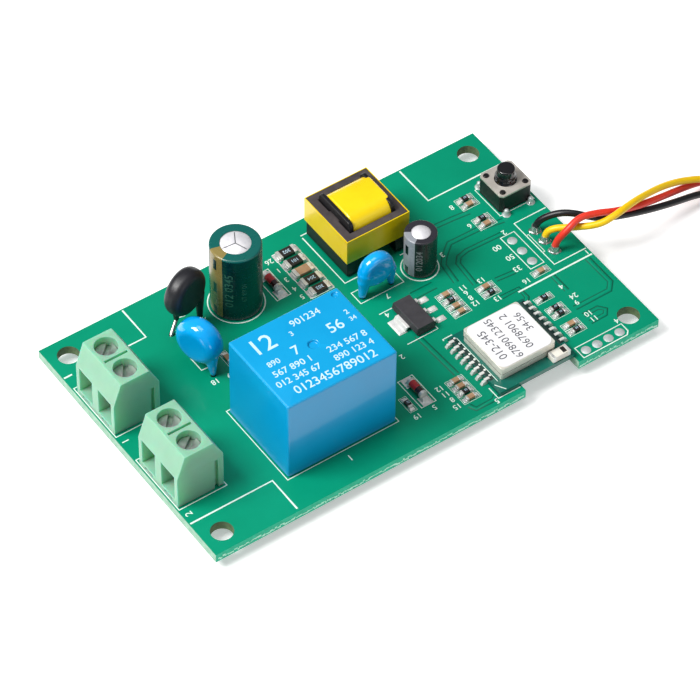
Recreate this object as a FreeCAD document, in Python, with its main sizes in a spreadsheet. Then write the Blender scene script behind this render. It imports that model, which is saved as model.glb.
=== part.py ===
import FreeCAD, Part
import math
import os
import Sketcher

# A smart switch module: an open circuit board that carries a 5 V relay, its mains supply, a radio
# module, a push button, two screw terminal blocks and a soldered three-wire lead.
# Board places are measured from the board's front left corner, heights from its top face.
# The model's origin is at the middle of the board, on the surface that the solder joints stand on.

doc = FreeCAD.newDocument("SmartSwitchModule")
sheet = doc.addObject("Spreadsheet::Sheet", "Sizes")
known = {}


def set_sizes(values):
    """Write each size in a cell of its own, under its name."""
    for alias, value in values.items():
        row = len(known) + 1
        sheet.set(f"A{row}", alias)
        sheet.set(f"B{row}", str(value))
        sheet.setAlias(f"B{row}", alias)
        known[alias] = float(value)


class Size:
    """A length with its present value and the sheet formula that it is bound by."""

    def __init__(self, value, text):
        self.value = value
        self.text = text

    def __add__(self, other):
        return combine(self, "+", other)

    def __radd__(self, other):
        return combine(other, "+", self)

    def __sub__(self, other):
        return combine(self, "-", other)

    def __rsub__(self, other):
        return combine(other, "-", self)

    def __mul__(self, other):
        return combine(self, "*", other)

    def __rmul__(self, other):
        return combine(other, "*", self)

    def __truediv__(self, other):
        return combine(self, "/", other)

    def __neg__(self):
        return combine(-1, "*", self)


def as_size(number):
    """A plain number as a Size, so that both mix freely."""
    if isinstance(number, Size):
        return number
    return Size(float(number), repr(float(number)))


def combine(first, sign, second):
    """The sum, difference, product or quotient of two sizes, as a value and as a formula."""
    first = as_size(first)
    second = as_size(second)
    if sign == "+":
        value = first.value + second.value
    elif sign == "-":
        value = first.value - second.value
    elif sign == "*":
        value = first.value * second.value
    else:
        value = first.value / second.value
    return Size(value, f"({first.text} {sign} {second.text})")


class Sizes:
    """Reads a named size from the sheet."""

    def __getattr__(self, alias):
        return Size(known[alias], f"Sizes.{alias}")


size = Sizes()

# Board, its holes and the notch under the radio's antenna
BOARD_SIZES = {
    "board_length": 80.0, "board_width": 47.5, "board_thick": 1.6, "tail_length": 1.6,
    "hole_inset_x": 3.25, "hole_inset_y": 3.25, "hole_radius": 1.75, "notch_start": 55.2,
    "notch_length": 9.8, "notch_depth": 3.2, "drill_play": 0.12, "solder_radius": 0.85,
    "solder_tip_radius": 0.35,
}

# Terminal blocks: moulded housing, rising clamps, screws and contact pins
TERMINAL_SIZES = {
    "terminal_x": 0.4, "terminal_front_y": 15.5, "terminal_rear_y": 32.25, "terminal_pitch": 5.08,
    "terminal_depth": 8.0, "terminal_rise": 10.2, "terminal_sill_rise": 6.1, "terminal_shoulder": 6.9,
    "terminal_top_front": 1.4, "terminal_top_back": 6.3, "well_radius": 1.82, "well_x": 3.8,
    "chamber_width": 3.9, "chamber_floor": 0.5, "entry_floor": 1.1, "entry_width": 3.5,
    "clamp_length": 3.1, "clamp_width": 3.6, "clamp_rise": 4.6, "clamp_wall": 0.5, "clamp_roof": 0.9,
    "clamp_travel": 2.25, "clamp_play": 0.15, "screw_head_radius": 1.74, "screw_head_rise": 1.3,
    "screw_radius": 1.2, "screw_slot_width": 0.75, "screw_slot_depth": 0.6, "screw_play": 0.06,
    "tang_thick": 0.7, "tang_width": 2.2, "pin_width": 0.9, "pin_thick": 0.7, "tongue_width": 0.5,
    "tongue_reach": 0.45, "tongue_play": 0.08,
}

# Relay: case, base, coil, iron circuit and contacts
RELAY_SIZES = {
    "relay_x": 16.7, "relay_y": 6.0, "relay_length": 19.2, "relay_width": 15.4, "relay_rise": 15.4,
    "relay_seat": 0.05, "relay_wall": 0.8, "relay_edge": 0.35, "base_thick": 1.6, "base_play": 0.1,
    "yoke_gap": 0.65, "coil_play": 0.25, "flange_thick": 0.7, "coil_rise": 6.7, "core_radius": 1.5,
    "pole_radius": 2.6, "pole_thick": 0.35, "bobbin_wall": 0.45, "winding_radius": 3.9,
    "yoke_thick": 1.0, "yoke_round": 0.3, "yoke_width": 6.8, "armature_gap": 0.5, "armature_thick": 0.9,
    "hinge_play": 0.05, "blade_thick": 0.2, "blade_width": 3.6, "contact_radius": 0.95,
    "contact_inset": 3.5, "contact_thick": 0.7, "contact_play": 0.06, "contact_travel": 1.02,
    "strip_thick": 0.3, "blade_pin_inset_x": 2.7, "blade_pin_inset_y": 1.7, "coil_pin_shift": 2.3,
    "post_rise": 5.2, "post_reach": 1.3, "post_back": 0.9, "relay_pin": 0.6,
}

# Electrolytic capacitors: one for the rectified mains, one for the low-voltage output
CAPACITOR_SIZES = {
    "supply_x": 29.8, "supply_y": 38.95, "supply_radius": 4.0, "supply_rise": 12.75,
    "supply_lead_pitch": 3.5, "output_x": 56.7, "output_y": 29.1, "output_radius": 2.55,
    "output_rise": 7.4, "output_lead_pitch": 2.0, "can_seat": 0.35, "sleeve_thick": 0.13, "can_lip": 0.12,
    "can_fit": 0.02, "plug_thick": 1.1, "capacitor_lead": 0.3,
}

# Disc parts: thermistor, varistor and safety capacitor
DISC_SIZES = {
    "thermistor_x": 20.7, "thermistor_y": 38.95, "thermistor_radius": 3.9, "thermistor_thick": 3.2,
    "thermistor_centre": 8.0, "thermistor_turn": 19.5, "varistor_x": 18.3, "varistor_y": 31.5,
    "varistor_radius": 3.8, "varistor_thick": 3.8, "varistor_centre": 5.6, "varistor_turn": -70.0,
    "safety_x": 48.4, "safety_y": 29.0, "safety_radius": 3.0, "safety_thick": 2.4, "safety_centre": 4.9,
    "safety_turn": 0.0, "disc_lead": 0.3, "coat_low_radius": 0.42, "coat_high_radius": 0.85,
    "disc_round": 0.42,
}

# Transformer: two ferrite halves, moulded bobbin, taped winding
TRANSFORMER_SIZES = {
    "transformer_x": 51.8, "transformer_y": 38.9, "core_length": 11.2, "core_width": 11.1,
    "core_thick": 4.75, "core_seat": 3.35, "core_back": 1.4, "core_leg": 1.3, "core_centre_leg": 2.5,
    "core_fit": 0.08, "bobbin_flange": 0.65, "bobbin_reach": 1.55, "bobbin_tube_wall": 0.5,
    "rail_seat": 0.25, "rail_inset": 0.1, "winding_width": 8.1, "winding_rise": 7.7,
    "winding_round": 2.4, "tape_thick": 0.13, "transformer_pin": 0.3, "transformer_pin_pitch": 2.5,
    "transformer_pin_inset": 0.9,
}

# Regulator in its flat package
REGULATOR_SIZES = {
    "regulator_x": 49.7, "regulator_y": 20.95, "regulator_length": 3.5, "regulator_width": 6.5,
    "regulator_thick": 1.6, "regulator_seat": 0.08, "regulator_draft": 0.25, "regulator_span": 7.0,
    "regulator_lead_width": 0.72, "regulator_lead_pitch": 2.3, "regulator_lead_thick": 0.25,
    "regulator_tab_width": 3.0,
}

# Radio module: its own board, shield can and chip antenna
RADIO_SIZES = {
    "radio_x": 51.3, "radio_y": 1.15, "radio_length": 13.9, "radio_width": 13.3, "radio_thick": 0.8,
    "shield_x": 52.8, "shield_y": 2.95, "shield_length": 10.0, "shield_width": 9.9, "shield_rise": 2.4,
    "shield_wall": 0.2, "shield_lid": 1.15, "shield_step": 0.1, "radio_pad_pitch": 1.27,
    "radio_pad_start": 4.55, "castle_radius": 0.3, "joint_length": 0.75, "joint_width": 0.62,
    "joint_rise": 0.65, "antenna_x": 61.2, "antenna_y": 1.3, "antenna_length": 3.2, "antenna_width": 1.5,
    "antenna_rise": 1.1,
}

# Push button
BUTTON_SIZES = {
    "button_inset": 3.7, "button_y": 34.0, "button_side": 6.0, "button_body_rise": 3.25,
    "button_corner": 0.5, "cover_thick": 0.3, "button_rise": 5.95, "button_radius": 1.72,
    "button_tip_radius": 1.42, "button_play": 0.06, "button_flange": 0.35, "button_well": 2.3,
    "button_flange_thick": 0.45, "button_travel": 0.25, "dome_rise": 0.5, "dome_thick": 0.12,
    "dome_floor": 1.55, "rivet_radius": 0.42, "rivet_inset": 0.85, "rivet_rise": 0.2, "leg_pitch": 4.5,
    "leg_width": 0.7, "leg_thick": 0.3, "leg_reach": 0.75, "leg_level": 0.7,
}

# Small surface-mounted parts: long, medium and small chips, glass diodes
CHIP_SIZES = {
    "long_chip_length": 3.2, "long_chip_width": 1.6, "long_chip_rise": 0.6, "small_chip_length": 1.6,
    "small_chip_width": 0.85, "small_chip_rise": 0.5, "chip_end": 0.3, "chip_end_step": 0.04,
    "diode_length": 3.5, "diode_radius": 0.7, "diode_end": 0.55,
}

# Three-wire lead and its crimp connector
LEAD_SIZES = {
    "wire_diameter": 1.1, "wire_inset": 4.4, "wire_y": 22.7, "wire_pitch": 2.5, "wire_blob": 0.4,
    "wire_blob_radius": 0.95, "wire_blob_top": 0.62, "wire_lift": 0.05, "plug_reach": 38.0,
    "plug_y": -15.0, "plug_turn": -84.0, "plug_length": 7.4, "plug_width": 9.8, "plug_rise": 5.7,
    "plug_socket": 1.5, "plug_socket_depth": 5.4, "plug_run": 4.5,
}

for sizes in (BOARD_SIZES, TERMINAL_SIZES, RELAY_SIZES, CAPACITOR_SIZES, DISC_SIZES,
              TRANSFORMER_SIZES, REGULATOR_SIZES, RADIO_SIZES, BUTTON_SIZES, CHIP_SIZES, LEAD_SIZES):
    set_sizes(sizes)
doc.recompute()

nodes = {}


def bind(thing, name, length):
    """Tie one property of a part to its formula."""
    thing.setExpression(name, as_size(length).text)


def place(thing, x, y, z):
    """Tie the place of a part to its formulas."""
    bind(thing, "Placement.Base.x", x)
    bind(thing, "Placement.Base.y", y)
    bind(thing, "Placement.Base.z", z)
    return thing


def turn(thing, degrees, axis=(0, 0, 1)):
    """Turn a part about its own origin."""
    thing.Placement = FreeCAD.Placement(FreeCAD.Vector(), FreeCAD.Rotation(FreeCAD.Vector(*axis), degrees))
    return thing


def node(label, thing):
    """Name a finished sub-part; its name is its file's name."""
    thing.Label = label
    nodes[label] = thing
    return thing


def block(name, x, y, z):
    """A block between pairs of bounds."""
    thing = doc.addObject("Part::Box", name)
    bind(thing, "Length", as_size(x[1]) - x[0])
    bind(thing, "Width", as_size(y[1]) - y[0])
    bind(thing, "Height", as_size(z[1]) - z[0])
    return place(thing, x[0], y[0], z[0])


TURNS = {"x": (90, (0, 1, 0)), "y": (-90, (1, 0, 0)), "z": (0, (0, 0, 1))}


def rod(name, x, y, z, radius, height, along="z"):
    """A round rod from a starting point along one axis."""
    thing = doc.addObject("Part::Cylinder", name)
    bind(thing, "Radius", radius)
    bind(thing, "Height", height)
    turn(thing, *TURNS[along])
    return place(thing, x, y, z)


def taper(name, x, y, z, low_radius, high_radius, height):
    """An upright cone with its two radii."""
    thing = doc.addObject("Part::Cone", name)
    bind(thing, "Radius1", low_radius)
    bind(thing, "Radius2", high_radius)
    bind(thing, "Height", height)
    return place(thing, x, y, z)


def union(name, pieces):
    """Pieces joined to one solid."""
    thing = doc.addObject("Part::MultiFuse", name)
    thing.Shapes = pieces
    thing.Refine = True
    return thing


def group(name, pieces):
    """Pieces kept as separate solids of one sub-part."""
    thing = doc.addObject("Part::Compound", name)
    thing.Links = pieces
    return thing


def cut(name, base, tools):
    """A piece with tools taken out of it."""
    thing = doc.addObject("Part::Cut", name)
    thing.Base = base
    thing.Tool = tools[0] if len(tools) == 1 else group(name + "_tools", tools)
    return thing


def new_body(name):
    return doc.addObject("PartDesign::Body", name)


def new_sketch(body, name, role):
    """A sketch on one of the body's own origin planes."""
    sketch = body.newObject("Sketcher::SketchObject", name)
    plane = next(item for item in body.Origin.OriginFeatures if item.Role == role)
    sketch.AttachmentSupport = (plane, [""])
    sketch.MapMode = "FlatFace"
    return sketch


def hold(sketch, shape, point, kind, length):
    """Hold one point of a sketch at its distance from the sketch's origin."""
    length = as_size(length)
    if length.text in ("0.0", "-0.0"):
        axis = -2 if kind == "DistanceX" else -1
        sketch.addConstraint(Sketcher.Constraint("PointOnObject", shape, point, axis))
        return
    index = sketch.addConstraint(Sketcher.Constraint(kind, -1, 1, shape, point, length.value))
    sketch.setExpression(f"Constraints[{index}]", length.text)


def polygon(body, name, role, corners):
    """A closed outline through its corners, each held by two sizes."""
    sketch = new_sketch(body, name, role)
    points = [FreeCAD.Vector(as_size(u).value, as_size(v).value, 0) for u, v in corners]
    count = len(points)
    for index in range(count):
        sketch.addGeometry(Part.LineSegment(points[index], points[(index + 1) % count]))
    for index in range(count):
        sketch.addConstraint(Sketcher.Constraint("Coincident", index, 2, (index + 1) % count, 1))
    for index, (u, v) in enumerate(corners):
        hold(sketch, index, 1, "DistanceX", u)
        hold(sketch, index, 1, "DistanceY", v)
    return sketch


def circle(body, name, role, u, v, radius):
    """A circle held by its centre and radius."""
    sketch = new_sketch(body, name, role)
    centre = FreeCAD.Vector(as_size(u).value, as_size(v).value, 0)
    sketch.addGeometry(Part.Circle(centre, FreeCAD.Vector(0, 0, 1), as_size(radius).value))
    index = sketch.addConstraint(Sketcher.Constraint("Radius", 0, as_size(radius).value))
    sketch.setExpression(f"Constraints[{index}]", as_size(radius).text)
    hold(sketch, 0, 3, "DistanceX", u)
    hold(sketch, 0, 3, "DistanceY", v)
    return sketch


def pad(body, sketch, length):
    """Raise an outline along its plane's normal."""
    feature = body.newObject("PartDesign::Pad", sketch.Name + "_pad")
    feature.Profile = sketch
    bind(feature, "Length", length)
    body.Tip = feature
    return feature


def revolve(body, sketch):
    """Turn an outline once round the upright axis."""
    feature = body.newObject("PartDesign::Revolution", sketch.Name + "_turned")
    feature.Profile = sketch
    feature.ReferenceAxis = (sketch, ["V_Axis"])
    feature.Angle = 360.0
    body.Tip = feature
    return feature


def soften(body, feature, radius, wanted):
    """Round the edges that a test picks."""
    doc.recompute()
    names = [f"Edge{index + 1}" for index, edge in enumerate(feature.Shape.Edges) if wanted(edge)]
    rounded = body.newObject("PartDesign::Fillet", feature.Name + "_round")
    rounded.Base = (feature, names)
    bind(rounded, "Radius", radius)
    body.Tip = rounded
    return rounded


def turned_piece(name, outline, rounds=()):
    """A piece turned from an outline of radius and height, with some rims rounded."""
    body = new_body(name)
    feature = revolve(body, polygon(body, name + "_outline", "XZ_Plane", outline))
    for radius, wanted in rounds:
        feature = soften(body, feature, radius, wanted)
    return body


def upright(edge):
    """True for a straight edge that runs straight up."""
    box = edge.BoundBox
    return box.XLength < 0.001 and box.YLength < 0.001


def plate_body(name, x, y, z, corner_radius):
    """A plate with its four upright corners rounded."""
    body = new_body(name)
    length = as_size(x[1]) - x[0]
    width = as_size(y[1]) - y[0]
    outline = [(0, 0), (length, 0), (length, width), (0, width)]
    feature = pad(body, polygon(body, name + "_outline", "XY_Plane", outline), as_size(z[1]) - z[0])
    soften(body, feature, corner_radius, upright)
    return place(body, x[0], y[0], z[0])


def on_x(x):
    """A board place along X, in the model's frame."""
    return x - size.board_length / 2


def on_y(y):
    """A board place along Y, in the model's frame."""
    return y - size.board_width / 2


BOARD_TOP = size.tail_length + size.board_thick
drilled = []
soldered = []


def solder_hole(x, y, radius):
    """Register a plated hole for a lead, with its solder joint under the board."""
    drilled.append((x, y, radius))
    soldered.append((x, y))


def pin_rod(name, x, y, radius, top):
    """A round lead from the board's underside to a height, in its plated hole."""
    solder_hole(x, y, radius)
    return rod(name, on_x(x), on_y(y), size.tail_length, radius, top + size.board_thick)


# Screw terminal blocks. A green moulded housing with a sloping front holds two wire chambers.
# Turning a screw draws its clamp up, which grips the wire under the fixed contact tang.
HALF_PITCH = size.terminal_pitch / 2
CLAMP_LOW = size.chamber_floor + size.clamp_play
TANG_LOW = CLAMP_LOW + size.clamp_travel + size.clamp_wall + size.clamp_play
HEAD_LOW = CLAMP_LOW + size.clamp_rise + size.clamp_travel + size.clamp_play
CHAMBER_FRONT = size.well_x - size.clamp_length / 2 - size.clamp_play
CHAMBER_BACK = size.well_x + size.clamp_length / 2 + size.clamp_play
PIN_FRONT = CHAMBER_BACK + size.clamp_play


def terminal_housing(label, middle_y):
    """One two-way housing, open at the front for the wires and at the top for the screws."""
    profile = [(0, 0), (size.terminal_depth, 0), (size.terminal_depth, size.terminal_shoulder),
               (size.terminal_top_back, size.terminal_rise), (size.terminal_top_front, size.terminal_rise),
               (0, size.terminal_sill_rise)]
    body = new_body(label + "_moulding")
    pad(body, polygon(body, label + "_profile", "XZ_Plane", profile), size.terminal_pitch * 2)
    place(body, 0, size.terminal_pitch, 0)
    middle_slot = block(label + "_middle_slot", (size.terminal_top_front + 0.5, size.terminal_top_back - 0.4),
                        (-0.22, 0.22), (size.terminal_rise - 1.0, size.terminal_rise + 1))
    groove_back = size.terminal_depth - 0.9
    groove = block(label + "_groove", (groove_back - size.tongue_width - size.tongue_play * 2, groove_back),
                   (-size.terminal_pitch - 1, -size.terminal_pitch + size.tongue_reach + size.tongue_play),
                   (-1, size.terminal_sill_rise))
    tools = [middle_slot, groove]
    for pole, offset in ((1, -HALF_PITCH), (2, HALF_PITCH)):
        name = f"{label}_{pole}"
        tools.append(rod(name + "_well", size.well_x, offset, HEAD_LOW - 1, size.well_radius, size.terminal_rise))
        half = size.chamber_width / 2
        tools.append(block(name + "_chamber", (CHAMBER_FRONT, CHAMBER_BACK), (offset - half, offset + half),
                           (size.chamber_floor, HEAD_LOW)))
        mouth = size.entry_width / 2
        tools.append(block(name + "_entry", (-1, CHAMBER_FRONT + 0.1), (offset - mouth, offset + mouth),
                           (size.entry_floor, size.terminal_sill_rise)))
        tools.append(block(name + "_drip_slot", (-1, 0.7), (offset - 1.05, offset + 1.05), (0.25, 0.8)))
        tang = size.tang_width / 2 + size.clamp_play
        tools.append(block(name + "_pin_slot", (CHAMBER_BACK - 0.1, PIN_FRONT + size.pin_thick + 0.05),
                           (offset - tang, offset + tang), (-1, TANG_LOW + size.tang_thick + 0.05)))
    carved = cut(label + "_carved", body, tools)
    tongue_back = groove_back - size.tongue_play
    tongue = block(label + "_tongue", (tongue_back - size.tongue_width, tongue_back),
                   (size.terminal_pitch - 0.1, size.terminal_pitch + size.tongue_reach),
                   (0, size.terminal_sill_rise - 0.2))
    housing = union(label + "_housing", [carved, tongue])
    place(housing, on_x(size.terminal_x), on_y(middle_y), BOARD_TOP)
    return node(label, housing)


def terminal_pin(name, pole_y):
    """A bent contact: a solder tail, an upright strip behind the clamp and a tang through it."""
    half_tang = size.tang_width / 2
    strip = block(name + "_strip", (PIN_FRONT, PIN_FRONT + size.pin_thick), (-half_tang, half_tang),
                  (0.05, TANG_LOW + size.tang_thick))
    tang = block(name + "_tang", (CHAMBER_FRONT + size.clamp_play, PIN_FRONT + 0.1), (-half_tang, half_tang),
                 (TANG_LOW, TANG_LOW + size.tang_thick))
    half_pin = size.pin_width / 2
    tail = block(name + "_tail", (PIN_FRONT, PIN_FRONT + size.pin_thick), (-half_pin, half_pin),
                 (-size.board_thick, 0.1))
    solder_hole(size.terminal_x + PIN_FRONT + size.pin_thick / 2, pole_y, size.pin_width * 0.66)
    pin = union(name, [strip, tang, tail])
    return place(pin, on_x(size.terminal_x), on_y(pole_y), BOARD_TOP)


def terminal_screw(label, pole_y, slot_turn):
    """A slotted steel screw whose end turns in the clamp and bears on the tang."""
    foot = TANG_LOW + size.tang_thick + size.screw_play
    head = rod(label + "_head", 0, 0, HEAD_LOW, size.screw_head_radius, size.screw_head_rise)
    shank = rod(label + "_shank", 0, 0, foot, size.screw_radius, HEAD_LOW - foot + 0.1)
    half = size.screw_slot_width / 2
    slot = block(label + "_slot", (-half, half), (-size.screw_head_radius * 2, size.screw_head_radius * 2),
                 (HEAD_LOW + size.screw_head_rise - size.screw_slot_depth, HEAD_LOW + size.screw_head_rise + 1))
    slot = turn(group(label + "_turned_slot", [slot]), slot_turn)
    screw = cut(label + "_cut", union(label + "_blank", [head, shank]), [slot])
    place(screw, on_x(size.terminal_x + size.well_x), on_y(pole_y), BOARD_TOP)
    return node(label, screw)


def terminal_clamp(label, pole_y):
    """A plated steel cage, open front and back, with the screw's thread in its roof."""
    half_length = size.clamp_length / 2
    half_width = size.clamp_width / 2
    top = CLAMP_LOW + size.clamp_rise
    blank = block(label + "_blank", (-half_length, half_length), (-half_width, half_width), (CLAMP_LOW, top))
    window = block(label + "_window", (-size.clamp_length, size.clamp_length),
                   (size.clamp_wall - half_width, half_width - size.clamp_wall),
                   (CLAMP_LOW + size.clamp_wall, top - size.clamp_roof))
    thread = rod(label + "_thread", 0, 0, top - size.clamp_roof - 1, size.screw_radius + size.screw_play, 4)
    cage = cut(label + "_cage", blank, [window, thread])
    place(cage, on_x(size.terminal_x + size.well_x), on_y(pole_y), BOARD_TOP)
    return node(label, cage)


terminal_housing("front_terminal_housing", size.terminal_front_y)
terminal_housing("rear_terminal_housing", size.terminal_rear_y)
POLES = [size.terminal_front_y - HALF_PITCH, size.terminal_front_y + HALF_PITCH,
         size.terminal_rear_y - HALF_PITCH, size.terminal_rear_y + HALF_PITCH]
SLOT_TURNS = [-53, -41, -35, -48]
for number, (pole, slot_turn) in enumerate(zip(POLES, SLOT_TURNS), 1):
    terminal_screw(f"terminal_screw_{number}", pole, slot_turn)
    terminal_clamp(f"terminal_clamp_{number}", pole)
node("terminal_pins", group("terminal_pin_set", [terminal_pin(f"terminal_pin_{number}", pole)
                                                 for number, pole in enumerate(POLES, 1)]))

# Relay. A blue moulded case closes over a base that carries an upright coil, an L-shaped yoke,
# a hinged armature with a contact blade, and the open and closed contacts that the blade swings
# between. The coil stands at the left end, the contacts at the right.
RELAY_X = on_x(size.relay_x + size.relay_length / 2)
RELAY_Y = on_y(size.relay_y + size.relay_width / 2)
BASE_TOP = size.relay_seat + size.base_thick
FLANGE_LOW = BASE_TOP + size.yoke_thick
COIL_LOW = FLANGE_LOW + size.flange_thick
COIL_HIGH = COIL_LOW + size.coil_rise
POLE_FACE = COIL_HIGH + size.flange_thick + size.pole_thick
YOKE_TOP = POLE_FACE + size.armature_gap
ARMATURE_LOW = YOKE_TOP + size.hinge_play
ARMATURE_HIGH = ARMATURE_LOW + size.armature_thick
COIL_OFFSET = (size.relay_length / 2 - size.relay_wall - size.yoke_gap - size.yoke_thick - size.coil_play
               - size.winding_radius)
YOKE_INNER = -COIL_OFFSET - size.winding_radius - size.coil_play
YOKE_OUTER = YOKE_INNER - size.yoke_thick
CONTACT_X = size.relay_length / 2 - size.contact_inset
BLADE_PIN_X = size.relay_length / 2 - size.blade_pin_inset_x
BLADE_PIN_Y = size.relay_width / 2 - size.blade_pin_inset_y
COIL_PIN_X = COIL_OFFSET + size.coil_pin_shift


def in_relay(thing):
    """Place a relay piece, modelled about the relay's middle."""
    return place(thing, RELAY_X, RELAY_Y, BOARD_TOP)


def relay_case():
    """Five-sided case with softened edges, a vent dimple and a tooling pip."""
    half_length = size.relay_length / 2
    half_width = size.relay_width / 2
    outline = [(-half_length, -half_width), (half_length, -half_width), (half_length, half_width),
               (-half_length, half_width)]
    body = new_body("relay_case_shell")
    feature = pad(body, polygon(body, "relay_case_outline", "XY_Plane", outline), size.relay_rise)
    soften(body, feature, size.relay_edge, lambda edge: edge.BoundBox.ZMin > 1 or upright(edge))
    place(body, 0, 0, size.relay_seat)
    wall = size.relay_wall
    cavity = block("relay_cavity", (wall - half_length, half_length - wall), (wall - half_width, half_width - wall),
                   (-1, size.relay_seat + size.relay_rise - wall))
    top = size.relay_seat + size.relay_rise
    dimple = rod("relay_dimple", 0.35, 0.35, top - 0.35, 0.8, 1)
    pip = rod("relay_pip", half_length - 1.15, half_width - 1.1, top - 0.3, 0.45, 1)
    node("relay_case", in_relay(cut("relay_case_hollow", body, [cavity, dimple, pip])))


def relay_base():
    """Base plate with two contact posts, slotted for every pin."""
    gap = size.relay_wall + size.base_play
    half_length = size.relay_length / 2 - gap
    half_width = size.relay_width / 2 - gap
    plate = block("relay_plate", (-half_length, half_length), (-half_width, half_width), (size.relay_seat, BASE_TOP))
    posts = []
    for side, name in ((-1, "open"), (1, "closed")):
        inner = side * (BLADE_PIN_Y - size.post_reach)
        bounds = (inner, half_width) if side > 0 else (-half_width, inner)
        posts.append(block(f"relay_post_{name}", (BLADE_PIN_X - size.post_back, half_length), bounds,
                           (BASE_TOP - 0.1, BASE_TOP + size.post_rise)))
    play = 0.05
    slots = []
    for side, name in ((-1, "open"), (1, "closed")):
        edge = side * BLADE_PIN_Y
        slots.append(block(f"relay_slot_{name}", (BLADE_PIN_X - play, BLADE_PIN_X + size.strip_thick + play),
                           (edge - 0.7 - play, edge + 0.5 + play), (-1, BASE_TOP + 9)))
    for side, name in ((-1, "front"), (1, "rear")):
        slots.append(block(f"relay_coil_slot_{name}",
                           (-COIL_PIN_X - size.relay_pin / 2 - play, -COIL_PIN_X + size.relay_pin / 2 + play),
                           (side * BLADE_PIN_Y - size.relay_pin / 2 - play,
                            side * BLADE_PIN_Y + size.relay_pin / 2 + play), (-1, BASE_TOP + 1)))
    slots.append(block("relay_common_slot", (YOKE_OUTER - play, YOKE_OUTER + size.relay_pin + play),
                       (-0.5 - play, 0.5 + play), (-1, BASE_TOP + 1)))
    node("relay_base", in_relay(cut("relay_base_slotted", union("relay_base_blank", [plate] + posts), slots)))


def relay_coil():
    """Bobbin with two flanges, its copper winding and the iron core with a pole face."""
    x = -COIL_OFFSET
    tube = size.core_radius + 0.05 + size.bobbin_wall
    flange = size.winding_radius + 0.15
    pieces = []
    for name, low in (("low", FLANGE_LOW), ("high", COIL_HIGH)):
        pieces.append(block(f"relay_flange_{name}", (x - flange, x + flange), (-flange, flange),
                            (low, low + size.flange_thick)))
    ear = BLADE_PIN_Y + size.relay_pin / 2
    pieces.append(block("relay_ears", (-COIL_PIN_X - 0.6, -COIL_PIN_X + 0.6), (-ear, ear),
                        (FLANGE_LOW, COIL_LOW)))
    pieces.append(rod("relay_tube", x, 0, FLANGE_LOW, tube, COIL_HIGH - FLANGE_LOW + 0.1))
    bore = rod("relay_tube_bore", x, 0, 0, size.core_radius + 0.05, 20)
    node("relay_bobbin", in_relay(cut("relay_bobbin_bored", union("relay_bobbin_blank", pieces), [bore])))
    roll = rod("relay_roll", x, 0, COIL_LOW + 0.02, size.winding_radius, size.coil_rise - 0.04)
    hollow = rod("relay_roll_bore", x, 0, 0, tube + 0.02, 20)
    node("relay_winding", in_relay(cut("relay_roll_cut", roll, [hollow])))
    stem = rod("relay_stem", x, 0, BASE_TOP + 0.02, size.core_radius, POLE_FACE - BASE_TOP - 0.1)
    pole = rod("relay_pole", x, 0, POLE_FACE - size.pole_thick + 0.02, size.pole_radius, size.pole_thick - 0.02)
    node("relay_core", in_relay(union("relay_core_joined", [stem, pole])))


def relay_yoke():
    """L-shaped iron yoke: a foot under the coil and an upright whose rounded edge bears the armature."""
    half = size.yoke_width / 2
    body = new_body("relay_yoke_bar")
    toe = -COIL_OFFSET + size.pole_radius
    outline = [(YOKE_OUTER, BASE_TOP), (toe, BASE_TOP), (toe, FLANGE_LOW), (YOKE_INNER, FLANGE_LOW),
               (YOKE_INNER, YOKE_TOP), (YOKE_OUTER, YOKE_TOP)]
    feature = pad(body, polygon(body, "relay_yoke_outline", "XZ_Plane", outline), size.yoke_width)
    soften(body, feature, size.yoke_round, lambda edge: edge.BoundBox.ZMin > YOKE_TOP.value - 0.01
           and edge.BoundBox.YLength > 1 and edge.BoundBox.XMax > YOKE_INNER.value - 0.01)
    place(body, 0, half, 0)
    seat = rod("relay_core_seat", -COIL_OFFSET, 0, 0, size.core_radius + 0.03, 6)
    node("relay_yoke", in_relay(cut("relay_yoke_drilled", body, [seat])))


def relay_pins():
    """Two coil pins and the common pin under the yoke."""
    pins = []
    half = size.relay_pin / 2
    for side, name in ((-1, "front"), (1, "rear")):
        middle = side * BLADE_PIN_Y
        pins.append(block(f"relay_coil_pin_{name}", (-COIL_PIN_X - half, -COIL_PIN_X + half),
                          (middle - half, middle + half), (-size.board_thick, FLANGE_LOW)))
        solder_hole(size.relay_x + size.relay_length / 2 - COIL_PIN_X,
                    size.relay_y + size.relay_width / 2 + middle, size.relay_pin * 0.75)
    pins.append(block("relay_common_pin", (YOKE_OUTER, YOKE_OUTER + size.relay_pin), (-0.5, 0.5),
                      (-size.board_thick, BASE_TOP)))
    solder_hole(size.relay_x + size.relay_length / 2 + YOKE_OUTER + half, size.relay_y + size.relay_width / 2,
                size.relay_pin)
    node("relay_pins", in_relay(group("relay_pin_set", pins)))


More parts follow.
